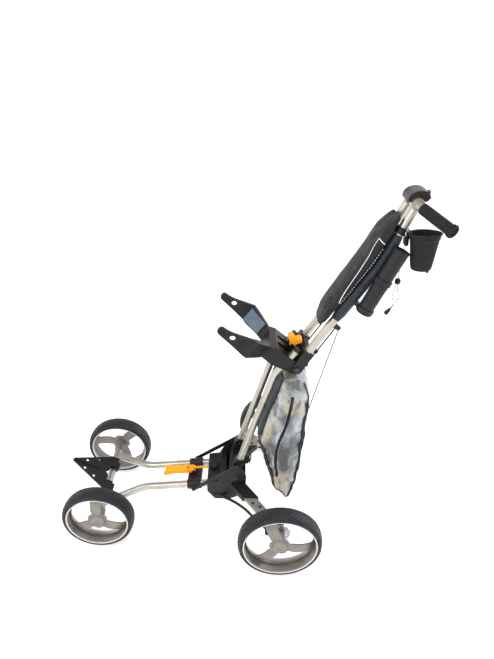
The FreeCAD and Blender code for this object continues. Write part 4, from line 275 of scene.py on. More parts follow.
def cloth(name, first, second, roughness, metallic=0.0, weave=330, sheen=0.3):
    """Woven fabric: crossing threads, soft creases and uneven dye."""
    finish = Finish(name, first, roughness, metallic, Sheen_Weight=sheen, Sheen_Roughness=0.5,
                    Specular_IOR_Level=0.25)
    finish.blend_colors(finish.cloud(22, 5), 0.35, 0.7, first, second)
    finish.vary_roughness(finish.cloud(45), roughness - 0.06, roughness + 0.1)
    finish.raise_by(finish.cloud(40, 5, (1, 1, 0.5)), 0.0012, 0.35)
    finish.raise_by(finish.bands("Z", weave, 0.3), 0.00012, 0.5)
    finish.raise_by(finish.bands("Y", weave, 0.3), 0.00012, 0.5)
    return finish.material


def silver_cloth():
    """Thin coated fabric that creases sharply, with painted shade in its folds and a painted
    blue-white highlight, mottled with grey and cream.
    """
    finish = Finish("silver_cloth", (0.55, 0.55, 0.54), 0.36, 0.55, Sheen_Weight=0.1)
    fold_shade_and_highlight = finish.cloud(20, 5, (1, 1, 0.55), (0.5, 0, 0))
    # Dark-to-blue-white blend: painted shade in the folds and a painted blue-white highlight.
    finish.blend_colors(fold_shade_and_highlight, 0.40, 0.60, (0.10, 0.105, 0.105), (0.40, 0.44, 0.47))
    finish.layer_color(finish.cloud(8, 3), 0.54, 0.66, (0.42, 0.375, 0.29))
    finish.layer_color(finish.cloud(34, 5, (1, 1, 0.5)), 0.54, 0.64, (0.16, 0.155, 0.14))
    finish.vary_roughness(finish.cloud(28), 0.26, 0.44)
    finish.raise_by(finish.cloud(30, 6, (1, 1, 0.6)), 0.008, 0.8)
    finish.raise_by(finish.bands("Z", 420, 0.2), 0.00008, 0.35)
    finish.raise_by(finish.bands("Y", 420, 0.2), 0.00008, 0.35)
    return finish.material


def net_cloth():
    """Knitted mesh: a net of threads over openings painted near black, as painted shade seen
    through them.
    """
    finish = Finish("net_cloth", (0.03, 0.03, 0.032), 0.65, Specular_IOR_Level=0.2)
    hole_relief_and_shade = finish.cells(420)
    # The openings are painted darker than the threads: painted shade from inside the bag.
    finish.blend_colors(hole_relief_and_shade, 0.04, 0.16, (0.022, 0.022, 0.024), (0.003, 0.003, 0.003))
    finish.raise_by(finish.cloud(35, 4), 0.002, 0.4)
    finish.raise_by(hole_relief_and_shade, -0.0004, 0.8)
    return finish.material


def foam():
    """Closed-cell grip foam."""
    finish = Finish("foam", (0.035, 0.039, 0.043), 0.78, Specular_IOR_Level=0.25)
    finish.blend_colors(finish.cloud(70, 5), 0.3, 0.7,
                        (0.005, 0.0055, 0.006), (0.012, 0.0135, 0.015))
    finish.vary_roughness(finish.cloud(120), 0.66, 0.9)
    finish.raise_by(finish.cells(900), 0.0002, 0.45)
    return finish.material


def tyre_rubber(name, axle, radius):
    """Black rubber, dustier at the tread."""
    finish = Finish(name, (0.02, 0.022, 0.025), 0.5, Specular_IOR_Level=0.35)
    finish.blend_colors(finish.cloud(24, 4), 0.3, 0.75,
                        (0.004, 0.0045, 0.006), (0.011, 0.013, 0.017))
    finish.layer_color(finish.from_axle(axle), radius - 0.004, radius + 0.002,
                       (0.014, 0.016, 0.019))
    finish.vary_roughness(finish.cloud(80), 0.42, 0.66)
    finish.raise_by(finish.cloud(900, 3), 0.00012, 0.5)
    return finish.material


def wheel_plastic(name, axle, radius):
    """Warm grey moulding with a lighter silver lip."""
    finish = Finish(name, (0.34, 0.31, 0.28), 0.42, 0.25, IOR=1.48)
    finish.blend_colors(finish.cloud(26, 4), 0.3, 0.75,
                        (0.17, 0.152, 0.135), (0.27, 0.245, 0.22))
    finish.layer_color(finish.from_axle(axle), radius - 0.004, radius - 0.0025,
                       (0.66, 0.65, 0.63))
    finish.vary_roughness(finish.cloud(90), 0.34, 0.52)
    finish.raise_by(finish.cloud(1300, 2), 0.0001, 0.45)
    return finish.material


def wire(name):
    """Bare twisted cable."""
    finish = Finish(name, (0.30, 0.30, 0.31), 0.4, 0.8)
    twist = finish.bands("DIAGONAL", 240)
    finish.blend_colors(twist, 0.2, 0.8, (0.05, 0.05, 0.052), (0.16, 0.16, 0.165))
    finish.raise_by(twist, 0.0003, 0.8)
    return finish.material


CHARCOAL = moulded("charcoal", (0.008, 0.0075, 0.007), 0.42, 1.5)
KNUCKLE = moulded("knuckle", (0.010, 0.0075, 0.005), 0.34, 1.5)
NEAR_BLACK = moulded("near_black", (0.004, 0.004, 0.004), 0.36, 1.6)
RIBBED_BLACK = moulded("ribbed_black", (0.007, 0.0085, 0.010), 0.46, 1.4)
ORANGE = moulded("orange_plastic", (0.95, 0.36, 0.008), 0.36, 1.15)
PAD_BLUE = moulded("pad_blue", (0.085, 0.12, 0.16), 0.7, 1.3)
TUBE = anodised("champagne_tube")
STEEL = steel("plain_steel")
DARK_STEEL = steel("dark_steel", (0.06, 0.06, 0.062), 0.38)
SILVER_CLOTH = silver_cloth()
BLACK_CLOTH = cloth("black_cloth", (0.006, 0.006, 0.007), (0.016, 0.017, 0.020), 0.7, sheen=0.05)
NAVY_CLOTH = cloth("navy_cloth", (0.009, 0.013, 0.024), (0.022, 0.031, 0.050), 0.6, sheen=0.08)
CONSOLE_CLOTH = cloth("console_cloth", (0.004, 0.004, 0.004), (0.012, 0.0115, 0.011), 0.6,
                      weave=380, sheen=0.04)
# The roll's cloth is tinted blue and lighter than the console's black: a painted bluish highlight.
ROLL_CLOTH_PAINTED_HIGHLIGHT = cloth("roll_cloth_painted_highlight", (0.008, 0.011, 0.016), (0.020, 0.027, 0.037), 0.34,
                   weave=380, sheen=0.1)
NET_CLOTH = net_cloth()
BRAID = cloth("braid", (0.02, 0.02, 0.021), (0.06, 0.06, 0.062), 0.6, weave=700)
PALE_THREAD = cloth("pale_thread", (0.55, 0.58, 0.62), (0.82, 0.85, 0.88), 0.6, weave=800)
SLEEVE = moulded("cable_sleeve", (0.014, 0.014, 0.015), 0.48, 1.5)
FOAM = foam()
TREAD = moulded("tread_edge", (0.035, 0.038, 0.042), 0.55, 1.6)
WIRE = wire("twisted_wire")


# ---------------------------------------------------------------- building helpers

def ring_angles(count):
    """Equally spaced angles once round, without the closing one."""
    return [2 * math.pi * k / count for k in range(count)]


def tube_faces(rings, sides, start=0):
    """Quads between rings of that many vertices, numbered from start."""
    faces = []
    for ring in range(rings - 1):
        for k in range(sides):
            low = start + ring * sides
            after = (k + 1) % sides
            faces.append((low + k, low + after, low + sides + after, low + sides + k))
    return faces


def new_piece(name, vertices, faces, material, smooth=True):
    """An object made from vertices and faces, with one material."""
    mesh = bpy.data.meshes.new(name)
    mesh.from_pydata([tuple(v) for v in vertices], [], faces)
    mesh.validate()
    mesh.materials.append(material)
    if smooth:
        mesh.polygons.foreach_set("use_smooth", [True] * len(mesh.polygons))
    mesh.update()
    return collection_add(bpy.data.objects.new(name, mesh))


def nurbs(name, points, radius, material):
    """A round cord along a smooth NURBS line."""
    data = bpy.data.curves.new(name, "CURVE")
    data.dimensions = "3D"
    data.bevel_depth = radius
    data.bevel_resolution = 4
    data.resolution_u = 12
    data.use_fill_caps = True
    spline = data.splines.new("NURBS")
    spline.points.add(len(points) - 1)
    for point, place in zip(spline.points, points):
        point.co = (*place, 1.0)
    spline.order_u = 3
    spline.use_endpoint_u = True
    data.materials.append(material)
    return collection_add(bpy.data.objects.new(name, data))


def line_points(points):
    """Points read along the smooth line that these points guide."""
    curve = nurbs("guide", points, 0.0, SLEEVE)
    mesh = bpy.data.meshes.new_from_object(curve)
    places = [vertex.co.copy() for vertex in mesh.vertices]
    data = curve.data
    bpy.data.objects.remove(curve)
    bpy.data.curves.remove(data)
    bpy.data.meshes.remove(mesh)
    return places


def evenly(places, step):
    """Points at equal steps along a run of points."""
    total = sum((b - a).length for a, b in zip(places, places[1:]))
    count = max(2, round(total / step))
    wanted = [total * k / count for k in range(count + 1)]
    result = []
    travelled = 0.0
    index = 0
    for goal in wanted:
        run = places[index + 1] - places[index]
        while index < len(places) - 2 and travelled + run.length < goal:
            travelled += run.length
            index += 1
            run = places[index + 1] - places[index]
        share = (goal - travelled) / run.length if run.length else 0.0
        result.append(places[index] + run * min(1.0, share))
    return result


def tangents(places):
    """The direction of a run of points at each of them."""
    ends = [places[0]] + list(places) + [places[-1]]
    return [(after - before).normalized() for before, after in zip(ends, ends[2:])]


def sweep(name, places, radii, material, sides=16, up=Vector((1, 0, 0))):
    """A closed tube of changing radius along places."""
    vertices = []
    for place, along, radius in zip(places, tangents(places), radii):
        across = along.cross(up).normalized()
        outward = across.cross(along)
        for angle in ring_angles(sides):
            spoke = math.cos(angle) * across + math.sin(angle) * outward
            vertices.append(place + radius * spoke)
    faces = tube_faces(len(places), sides)
    faces.append(tuple(reversed(range(sides))))
    faces.append(tuple(range(len(vertices) - sides, len(vertices))))
    return new_piece(name, vertices, faces, material)


def tree_of(obj):
    """A search tree over a piece's finished surface."""
    return BVHTree.FromObject(obj, bpy.context.evaluated_depsgraph_get())


def ribbon(name, places, width, height, tree, material, crown=0.5):
    """A flat strip that lies on a surface along places, a little crowned."""
    columns = (-0.5, -0.48, -0.25, 0.0, 0.25, 0.48, 0.5)
    vertices = []
    for place, along in zip(places, tangents(places)):
        spot, normal, _, _ = tree.find_nearest(place)
        across = along.cross(normal).normalized()
        for column in columns:
            lift = height * (1 - crown * (2 * column) ** 2) if abs(column) < 0.5 else -height
            edge, edge_normal, _, _ = tree.find_nearest(spot + across * column * width)
            vertices.append(edge + edge_normal * lift)
    wide = len(columns)
    faces = []
    for row in range(len(places) - 1):
        for k in range(wide - 1):
            low = row * wide + k
            faces.append((low, low + 1, low + wide + 1, low + wide))
        faces.append((row * wide, (row + 1) * wide, (row + 2) * wide - 1, (row + 1) * wide - 1))
    faces.append(tuple(range(wide)))
    faces.append(tuple(reversed(range(len(vertices) - wide, len(vertices)))))
    piece = new_piece(name, vertices, faces, material)
    tidy_normals(piece)
    return piece


def patch(name, ring, lift, tree, material):
    """A filled outline that lies on a surface."""
    centre = sum(ring, Vector()) / len(ring)
    vertices = []
    for share in (1.0, 0.66, 0.33):
        for place in ring:
            spot, normal, _, _ = tree.find_nearest(centre + (place - centre) * share)
            vertices.append(spot + normal * lift)
    spot, normal, _, _ = tree.find_nearest(centre)
    vertices.append(spot + normal * lift)
    around = len(ring)
    faces = []
    for k in range(around):
        after = (k + 1) % around
        for row in (0, around):
            faces.append((row + k, row + after, row + around + after, row + around + k))
        faces.append((2 * around + k, 2 * around + after, 3 * around))
    return new_piece(name, vertices, faces, material)


def tidy_normals(piece):
    """Turns all of a piece's faces outward."""
    work = bmesh.new()
    work.from_mesh(piece.data)
    bmesh.ops.recalc_face_normals(work, faces=work.faces)
    work.to_mesh(piece.data)
    work.free()


def stitches(name, places, spacing, length, radius, tree, material):
    """A row of short raised threads on a surface."""
    profile = ((-0.5, 0.4), (-0.3, 1.0), (0.3, 1.0), (0.5, 0.4))
    sides = 6
    spots = evenly(places, spacing)
    vertices = []
    faces = []
    for place, along in zip(spots, tangents(spots)):
        spot, normal, _, _ = tree.find_nearest(place)
        across = along.cross(normal).normalized()
        start = len(vertices)
        for share, size in profile:
            centre = spot + along * share * length + normal * radius * 0.5 * size
            for angle in ring_angles(sides):
                spoke = math.cos(angle) * across + math.sin(angle) * normal
                vertices.append(centre + radius * size * spoke)
        faces += tube_faces(len(profile), sides, start)
        faces.append(tuple(reversed(range(start, start + sides))))
        faces.append(tuple(range(start + 3 * sides, start + 4 * sides)))
    return new_piece(name, vertices, faces, material)


def applied(obj):
    """The piece's modifiers become its mesh."""
    bpy.context.view_layer.update()
    shape = obj.evaluated_get(bpy.context.evaluated_depsgraph_get())
    mesh = bpy.data.meshes.new_from_object(shape)
    obj.modifiers.clear()
    obj.data = mesh
    return obj


def outer_shell(name, node):
    """A copy of a node's outermost closed surface."""
    work = bmesh.new()
    work.from_mesh(frame["nodes"][node].data)
    bmesh.ops.remove_doubles(work, verts=work.verts, dist=1e-5)
    groups = []
    left = set(work.verts)
    while left:
        group = {left.pop()}
        front = list(group)
        while front:
            vertex = front.pop()
            for edge in vertex.link_edges:
                other = edge.other_vert(vertex)
                if other in left:
                    left.remove(other)
                    group.add(other)
                    front.append(other)
        groups.append(group)

    def reach(group):
        return max(v.co.x for v in group) - min(v.co.x for v in group)

    largest = max(groups, key=reach)
    extra = [vertex for vertex in work.verts if vertex not in largest]
    bmesh.ops.delete(work, geom=extra, context="VERTS")
    mesh = bpy.data.meshes.new(name)
    work.to_mesh(mesh)
    work.free()
    return collection_add(bpy.data.objects.new(name, mesh))


def fabric_body(name, node, voxel, rounding, inset):
    """A node's outer surface in even small faces, rounded and drawn in a little."""
    piece = outer_shell(name, node)
    remesh = piece.modifiers.new("remesh", "REMESH")
    remesh.mode = "VOXEL"
    remesh.voxel_size = voxel
    smooth = piece.modifiers.new("smooth", "SMOOTH")
    smooth.iterations = rounding
    smooth.factor = 0.5
    shrink = piece.modifiers.new("inset", "DISPLACE")
    shrink.strength = -inset
    shrink.mid_level = 0.0
    return applied(piece)


CLOTH_FRAMES = 20


def swell(piece, pressure, slack, reach):
    """Lets the fabric fill and crease: cloth with slack under a little pressure.

    reach(point) caps how far each point may travel."""
    start = [vertex.co.copy() for vertex in piece.data.vertices]
    bpy.context.scene.frame_set(1)
    modifier = piece.modifiers.new("cloth", "CLOTH")
    settings = modifier.settings
    settings.quality = 6
    settings.mass = 0.15
    settings.tension_stiffness = 25
    settings.compression_stiffness = 25
    settings.shear_stiffness = 8
    settings.bending_stiffness = 0.25
    settings.shrink_min = -slack
    settings.use_pressure = True
    settings.uniform_pressure_force = pressure
    settings.effector_weights.gravity = 0.0
    modifier.collision_settings.use_collision = False
    modifier.point_cache.frame_start = 1
    modifier.point_cache.frame_end = CLOTH_FRAMES
    for number in range(1, CLOTH_FRAMES + 1):
        bpy.context.scene.frame_set(number)
    applied(piece)
    bpy.context.scene.frame_set(1)
    for vertex, place in zip(piece.data.vertices, start):
        travel = vertex.co - place
        cap = reach(place)
        if travel.length > cap:
            vertex.co = place + travel.normalized() * cap
    piece.data.update()
    return piece


def finer(piece):
    """Subdivides a piece once and shades it smooth."""
    modifier = piece.modifiers.new("finer", "SUBSURF")
    modifier.levels = 1
    modifier.render_levels = 1
    applied(piece)
    piece.data.polygons.foreach_set("use_smooth", [True] * len(piece.data.polygons))
    return piece


def creased(piece, depth, size, stretch=(1, 1, 1), keep_off=None):
    """Sharp-edged creases pushed into the surface."""
    mesh = piece.data
    moves = []
    for vertex in mesh.vertices:
        point = Vector([c * s for c, s in zip(vertex.co, stretch)]) / size
        small = noise.noise(point * 2.1 + Vector((3, 7, 1)))
        fold = 1 - abs(noise.noise(point)) * 2.2 - 0.5 * abs(small)
        amount = depth * (fold - 0.5)
        if keep_off:
            amount *= keep_off(vertex.co)
        moves.append(vertex.normal * amount)
    for vertex, move in zip(mesh.vertices, moves):
        vertex.co += move
    mesh.update()
    return piece


def section_centre(node, height):
    """The middle of a node's horizontal section."""
    work = bmesh.new()
    work.from_mesh(frame["nodes"][node].data)
    cut = bmesh.ops.bisect_plane(
        work, geom=work.verts[:] + work.edges[:] + work.faces[:],
        plane_co=(0, 0, height), plane_no=(0, 0, 1),
    )["geom_cut"]
    spots = [v.co.copy() for v in cut if isinstance(v, bmesh.types.BMVert)]
    work.free()
    low = Vector([min(s[k] for s in spots) for k in range(3)])
    high = Vector([max(s[k] for s in spots) for k in range(3)])
    return (low + high) / 2


# ---------------------------------------------------------------- cords

CORD_RADIUS = 0.9 * MM

upper_route = [
    at(50, 317.5, 1028), at(47.5, 319, 990), at(46.5, 316, 950),
    at(46, 313, 922), at(46, 313, 897.5),
]
front_route = [
    at(43.5, 311, 882.5), at(43.5, 311, 866), at(42.5, 302, 845),
    at(44.6, 313.1, 818.8), at(44.6, 303.5, 806),
]
rear_route = [
    at(48.5, 314, 882.5), at(48.5, 314, 866), at(50.5, 321.5, 843),
    at(47.4, 313.1, 818.8), at(47.4, 303.5, 806),
]


def drawstring():
    """The mesh bag's cord: one strand to its lock, and a loop of two on to the end toggle."""
    strands = [
        ("drawstring_upper", upper_route, 0.129),
        ("drawstring_front", front_route, 0.078),
        ("drawstring_rear", rear_route, 0.077),
    ]
    for name, route, length in strands:
        piece = nurbs(name, route, CORD_RADIUS, BRAID)
        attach(piece, "upper_mast")
        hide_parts("drawstring")


drawstring()


WIRE_RADIUS = 1.6 * MM
HOUSING_RADIUS = 2.2 * MM


def crossing_cable(name, points, radius, material, node):
    """A cable swept along a smooth line through given points, in place of the imported one."""
    places = evenly(line_points(points), 0.004)
    piece = sweep(name, places, [radius] * len(places), material, 12)
    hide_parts(node)
    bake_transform(piece)


crossing_cable(
    "brake_wire", [at(46.8, 164.8, 743), at(60.4, 127.7, 610.5), at(74, 90.6, 478)],
    WIRE_RADIUS, WIRE, "brake_cable",
)
crossing_cable(
    "housing_left", [at(46.6, 160, 753), at(50.4, 104.7, 668.8), at(50.4, 80.1, 625.3)],
    HOUSING_RADIUS, SLEEVE, "cable_housings",
)
crossing_cable(
    "housing_right", [at(-48, 140, 723), at(-50.4, 104.7, 668.8), at(-50.4, 80.1, 625.3)],
    HOUSING_RADIUS, SLEEVE, "cable_housings",
)


# ---------------------------------------------------------------- tyres and wheels

RIDGE_HEIGHT = 0.9 * MM
RIDGE_WIDTH = 2.2 * MM
RIDGE_PROFILE = ((-0.5, -0.6), (-0.28, 1.0), (0.28, 1.0), (0.5, -0.6))
BIG_TYRE = 0.12


def tread(body, tyre):
    """Fine curved ridges round the tyre, swept back from the middle to both edges."""
    axle = PIVOTS[f"{body}_spin"]
    low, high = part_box(tyre)
    radius = (high.z - low.z) / 2
    half = (high.x - low.x) / 2
    tree = BVHTree.FromPolygons(
        [v.co.copy() for v in frame["nodes"][tyre].data.vertices],
        [tuple(p.vertices) for p in frame["nodes"][tyre].data.polygons],
    )
    count = 60 if radius > BIG_TYRE else 54
    steps = 9
    vertices = []
    faces = []
    for number in range(count):
        base = 2 * math.pi * number / count
        for side in (-1, 1):
            start = len(vertices)
            offset = (0.5 if side > 0 else 0.0) * 2 * math.pi / count
            for step in range(steps):
                share = step / (steps - 1)
                turn = base + offset + 0.14 * share ** 1.6
                across = axle.x + side * half * (0.03 + 0.80 * share)
                outward = Vector((0, math.cos(turn), math.sin(turn)))
                origin = Vector((across, axle.y, axle.z)) + outward * (radius + 0.02)
                spot, normal, _, _ = tree.ray_cast(origin, -outward)
                if spot is None:
                    spot, normal, _, _ = tree.find_nearest(origin)
                along = Vector((0, -math.sin(turn), math.cos(turn)))
                thin = RIDGE_WIDTH * (1 - 0.5 * share)
                for sideways, lift in RIDGE_PROFILE:
                    vertices.append(spot + along * sideways * thin + normal * lift * RIDGE_HEIGHT)
            faces += tube_faces(steps, len(RIDGE_PROFILE), start)
            faces.append(tuple(start + k for k in (3, 2, 1, 0)))
            faces.append(tuple(start + (steps - 1) * 4 + k for k in range(4)))
    piece = new_piece(f"tread_{body}", vertices, faces, TREAD, smooth=False)
    tidy_normals(piece)
    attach(piece, body)


def finish_node(node, material):
    """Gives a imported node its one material."""
    mesh = frame["nodes"][node].data
    mesh.materials.clear()
    mesh.materials.append(material)


def half_height(node):
    low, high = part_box(node)
    return (high.z - low.z) / 2


for body in WHEELS:
    end, side = body.split("_wheel_")
    side_name = "left" if side == "l" else "right"
    tyre = f"{end}_tyre_{side_name}"
    wheel = f"{end}_wheel_{side_name}"
    axle = PIVOTS[f"{body}_spin"]
    finish_node(tyre, tyre_rubber(f"rubber_{body}", axle, half_height(tyre)))
    finish_node(wheel, wheel_plastic(f"plastic_{body}", axle, half_height(wheel)))
    tread(body, tyre)

NODE_FINISHES = {
    TUBE: ("front_axle_tube", "front_tube_left", "front_tube_right",
           "mast_tube_left", "mast_tube_right", "upper_tube_left", "upper_tube_right",
           "handle_bar", "leg_left", "leg_right"),
    CHARCOAL: ("hub_body", "knee_covers", "axle_blocks", "mast_foot", "slide_yoke",
               "latch_catch", "tube_caps", "upper_yoke", "umbrella_clamps", "cable_guides"),
    NEAR_BLACK: ("bag_cradle", "bag_bracket", "bracket_arm_left", "bracket_arm_right",
                 "struts", "brake_clamp", "brake_lever", "cord_toggles", "knuckle_button"),
    KNUCKLE: ("handle_knuckle",),
    RIBBED_BLACK: ("umbrella_tube",),
    ORANGE: ("latch_lever", "latch_link", "upper_latch"),
    PAD_BLUE: ("bracket_pads",),
    STEEL: ("axle_pins", "brake_disc_left", "brake_disc_right"),
    DARK_STEEL: ("lifting_ring", "leg_screws", "mast_pivot_pin", "upper_hinge_pin"),
    FOAM: ("grip_left", "grip_right"),
    SLEEVE: ("leg_bands",),
}
for material, nodes in NODE_FINISHES.items():
    for node in nodes:
        finish_node(node, material)


# ---------------------------------------------------------------- storage bag

BAG_HALF = 86.0
BAG_PANEL_HALF = 0.080
BAG_REAR_PANEL_TOP = 0.497
MAST_LEAN = math.radians(17.5)


def bag_reach(point):
    """The fabric may travel far on its sides and rear, and little near the mast tubes."""
    foot = PIVOTS["mast_fold"]
    tube_line = foot.y + (point.z - foot.z) * math.tan(MAST_LEAN)
    room = (point.y - tube_line) * 0.35 - 0.003
    return max(0.0008, min(0.009, room))


def storage_bag():
    """The thin silver bag with its dark front and rear panels, zip, piping and bottom seam."""
    bag = fabric_body("storage_bag_cloth", "storage_bag", 0.007, 10, 0.0035)
    for material in (SILVER_CLOTH, NAVY_CLOTH, BLACK_CLOTH):
        bag.data.materials.append(material)
    for face in bag.data.polygons:
        if face.normal.y < -0.6 and abs(face.center.x) < BAG_PANEL_HALF:
            face.material_index = 1
        elif face.normal.y > 0.6 and face.center.z < BAG_REAR_PANEL_TOP:
            face.material_index = 2
    swell(bag, 3.0, 0.05, bag_reach)
    creased(bag, 0.0046, 0.034, (1.0, 1.0, 0.6), lambda p: min(1.0, bag_reach(p) / 0.006))
    finer(bag)
    tree = tree_of(bag)
    pieces = [bag]
    for side, side_name in ((1, "left"), (-1, "right")):
        x = side * BAG_HALF
        front = [at(x, 4, 590), at(x, -20, 530), at(x, -46, 425), at(x, -60, 365), at(x, -48, 300),
                 at(x, -30, 220), at(x, -14, 158), at(x, 8, 120), at(x, 30, 99)]
        rear = [at(x, 72, 580), at(x, 88, 530), at(x, 90, 500), at(x, 80, 340),
                at(x, 66, 190), at(x, 44, 105)]
        for edge, points in (("front", front), ("rear", rear)):
            places = evenly(line_points(points), 0.006)
            lift = (1.4 if edge == "front" else 2.4) * MM
            spots = []
            for place in places:
                spot, normal, _, _ = tree.find_nearest(place)
                spots.append(spot + normal * lift)
            for _ in range(3):
                inner = [(a + b + c) / 3 for a, b, c in zip(spots, spots[1:], spots[2:])]
                spots = [spots[0]] + inner + [spots[-1]]
            radii = [(1.7 if edge == "front" or spot.z > 0.499 else 3.0) * MM for spot in spots]
            pieces.append(sweep(f"bag_piping_{edge}_{side_name}", spots, radii, BLACK_CLOTH, 10))
        seam = evenly([at(x * 1.05, -12, 150), at(x * 1.05, 20, 135), at(x * 1.05, 58, 155)], 0.005)
        pieces.append(ribbon(f"bag_low_seam_{side_name}", seam, 0.003, 0.0009, tree, SILVER_CLOTH))
    zip_line = line_points([at(90, 38, 530), at(90, 32, 470), at(90, 20, 415), at(90, -2, 350),
                            at(90, -10, 280), at(90, -5, 205)])
    tape = evenly(zip_line, 0.004)
    pieces.append(ribbon("bag_zip_tape", tape, 0.0095, 0.0014, tree, BLACK_CLOTH, 0.2))
    pieces.append(stitches("bag_zip_teeth", tape, 0.0026, 0.0017, 0.0022, tree, NEAR_BLACK))
    for shift, label in ((0.0065, "front"), (-0.0065, "rear")):
        beside = [place - Vector((0, shift, 0)) for place in tape]
        name = f"bag_zip_thread_{label}"
        pieces.append(stitches(name, beside, 0.006, 0.003, 0.0005, tree, PALE_THREAD))
    spot, normal, _, _ = tree.find_nearest(tape[3])
    slider = [spot + normal * 0.003 + Vector((0, 0, dz)) for dz in (0.010, 0.004, -0.004, -0.010)]
    pieces.append(sweep("bag_zip_slider", slider, [0.0018, 0.0042, 0.0042, 0.0022], DARK_STEEL, 12))
    top = slider[-1] + normal * 0.0012
    pull = [top + Vector((0, -0.0012 * k, -0.009 * k)) for k in range(5)]
    radii = [0.0012, 0.0026, 0.0030, 0.0030, 0.0018]
    pieces.append(sweep("bag_zip_pull", pull, radii, DARK_STEEL, 12))
    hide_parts("storage_bag")
    for piece in pieces:
        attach(piece, "lower_mast")
        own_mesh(piece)


storage_bag()


# ---------------------------------------------------------------- console pouch

CONSOLE_HALF = 59.0 * MM
ROLL_END_RADIUS = 12.2 * MM
ROLL_GROWTH = 4.2 * MM


def along_tube(node, heights):
    """Points on a slanted tube's middle line at those heights."""
    return [section_centre(node, height * MM) for height in heights]


def console_shell():
    """A padded form between the pouch's front and rear lines, rounded towards both sides."""
    front = evenly(line_points([
        at(0, 105, 751), at(0, 118, 790), at(0, 143.5, 838), at(0, 181, 899),
        at(0, 218.5, 959), at(0, 240, 1001), at(0, 262, 1038), at(0, 298, 1068),
    ]), 0.006)
    rear = evenly(line_points([
        at(0, 113, 747), at(0, 140, 782), at(0, 182, 843), at(0, 215, 892),
        at(0, 247, 941), at(0, 268, 985), at(0, 286, 1028), at(0, 303, 1064),
    ]), 0.006)
    count = min(len(front), len(rear))
    around = 64
    vertices = []
    for row in range(count):
        share = row / (count - 1)
        first = front[round(share * (len(front) - 1))]
        second = rear[round(share * (len(rear) - 1))]
        middle = (first + second) / 2
        depth = (first - second) / 2
        taper = min(1.0, 0.62 + share * 4) * min(1.0, 0.70 + (1 - share) * 2.4)
        for angle in ring_angles(around):
            side = math.copysign(abs(math.cos(angle)) ** 0.75, math.cos(angle))
            lift = math.copysign(abs(math.sin(angle)) ** 0.85, math.sin(angle))
            slack = 0.0035 * noise.noise(Vector((side * 2.4, share * 12, 4)))
            pucker = slack * max(0.25, share * 1.6 - 0.6)
            vertices.append(middle + Vector((side * CONSOLE_HALF * taper, 0, 0))
                            + depth * (lift * 0.97) + depth.normalized() * pucker)
    faces = tube_faces(count, around)
    faces.append(tuple(reversed(range(around))))
    faces.append(tuple(range(len(vertices) - around, len(vertices))))
    shell = new_piece("console_cloth", vertices, faces, CONSOLE_CLOTH)
    tidy_normals(shell)
    return finer(shell)


def console():
    """The padded pouch between the upper tubes: a roll round each tube, pocket and stitching."""
    pouch = console_shell()
    tree = tree_of(pouch)
    pieces = [pouch]
    flap = evenly(line_points([
        at(58, 156, 830), at(58, 168, 862), at(57, 190, 906),
        at(52, 212, 950), at(44, 236, 1000), at(42, 244, 1014),
    ]), 0.004)
    pieces.append(ribbon("console_elastic", flap, 0.0022, 0.0013, tree, PALE_THREAD))
    close = evenly([at(42, 244, 1014), at(50, 250, 1010), at(58, 262, 1000)], 0.003)
    pieces.append(ribbon("console_pocket_end", close, 0.0024, 0.0013, tree, PALE_THREAD))
    seam = evenly(line_points([
        at(60, 165, 826), at(60, 186, 856), at(60, 214, 904), at(60, 244, 952), at(60, 262, 982),
    ]), 0.004)
    pieces.append(stitches("console_stitches", seam, 0.0085, 0.0042, 0.0010, tree, PALE_THREAD))
    turns = [2 * math.pi * k / 28 for k in range(29)]
    hole = [at(21 + 7 * math.cos(a), 133 + 8.5 * math.sin(a), 813 + 19 * math.sin(a))
            for a in turns]
    pieces.append(ribbon("console_hole_rim", hole, 0.0035, 0.0018, tree, BLACK_CLOTH))
    # The hole's inside is a flat near-black patch laid on the pouch: painted shade.
    pieces.append(patch("console_hole", hole[:-1], 0.0004, tree, NEAR_BLACK))
    for side, side_name in ((1, "left"), (-1, "right")):
        heights = (774, 800, 840, 880, 920, 960, 995, 1018)
        middle = along_tube(f"upper_tube_{side_name}", heights)
        places = evenly(middle, 0.006)
        count = len(places) - 1
        radii = []
        for number in range(count + 1):
            end = min(number, count - number)
            grown = min(1.0, 0.25 + end / 5)
            wrinkle = 0.0005 * noise.noise(Vector((number * 0.8, side, 0)))
            radii.append(ROLL_END_RADIUS + ROLL_GROWTH * grown + wrinkle)
        pieces.append(sweep(f"console_roll_{side_name}", places, radii, ROLL_CLOTH_PAINTED_HIGHLIGHT, 28))
    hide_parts("console_pouch")
    for piece in pieces:
        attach(piece, "upper_mast")


console()


# ---------------------------------------------------------------- mesh bag

NET_THICKNESS = 1.2 * MM
HEM_RADIUS = 1.7 * MM


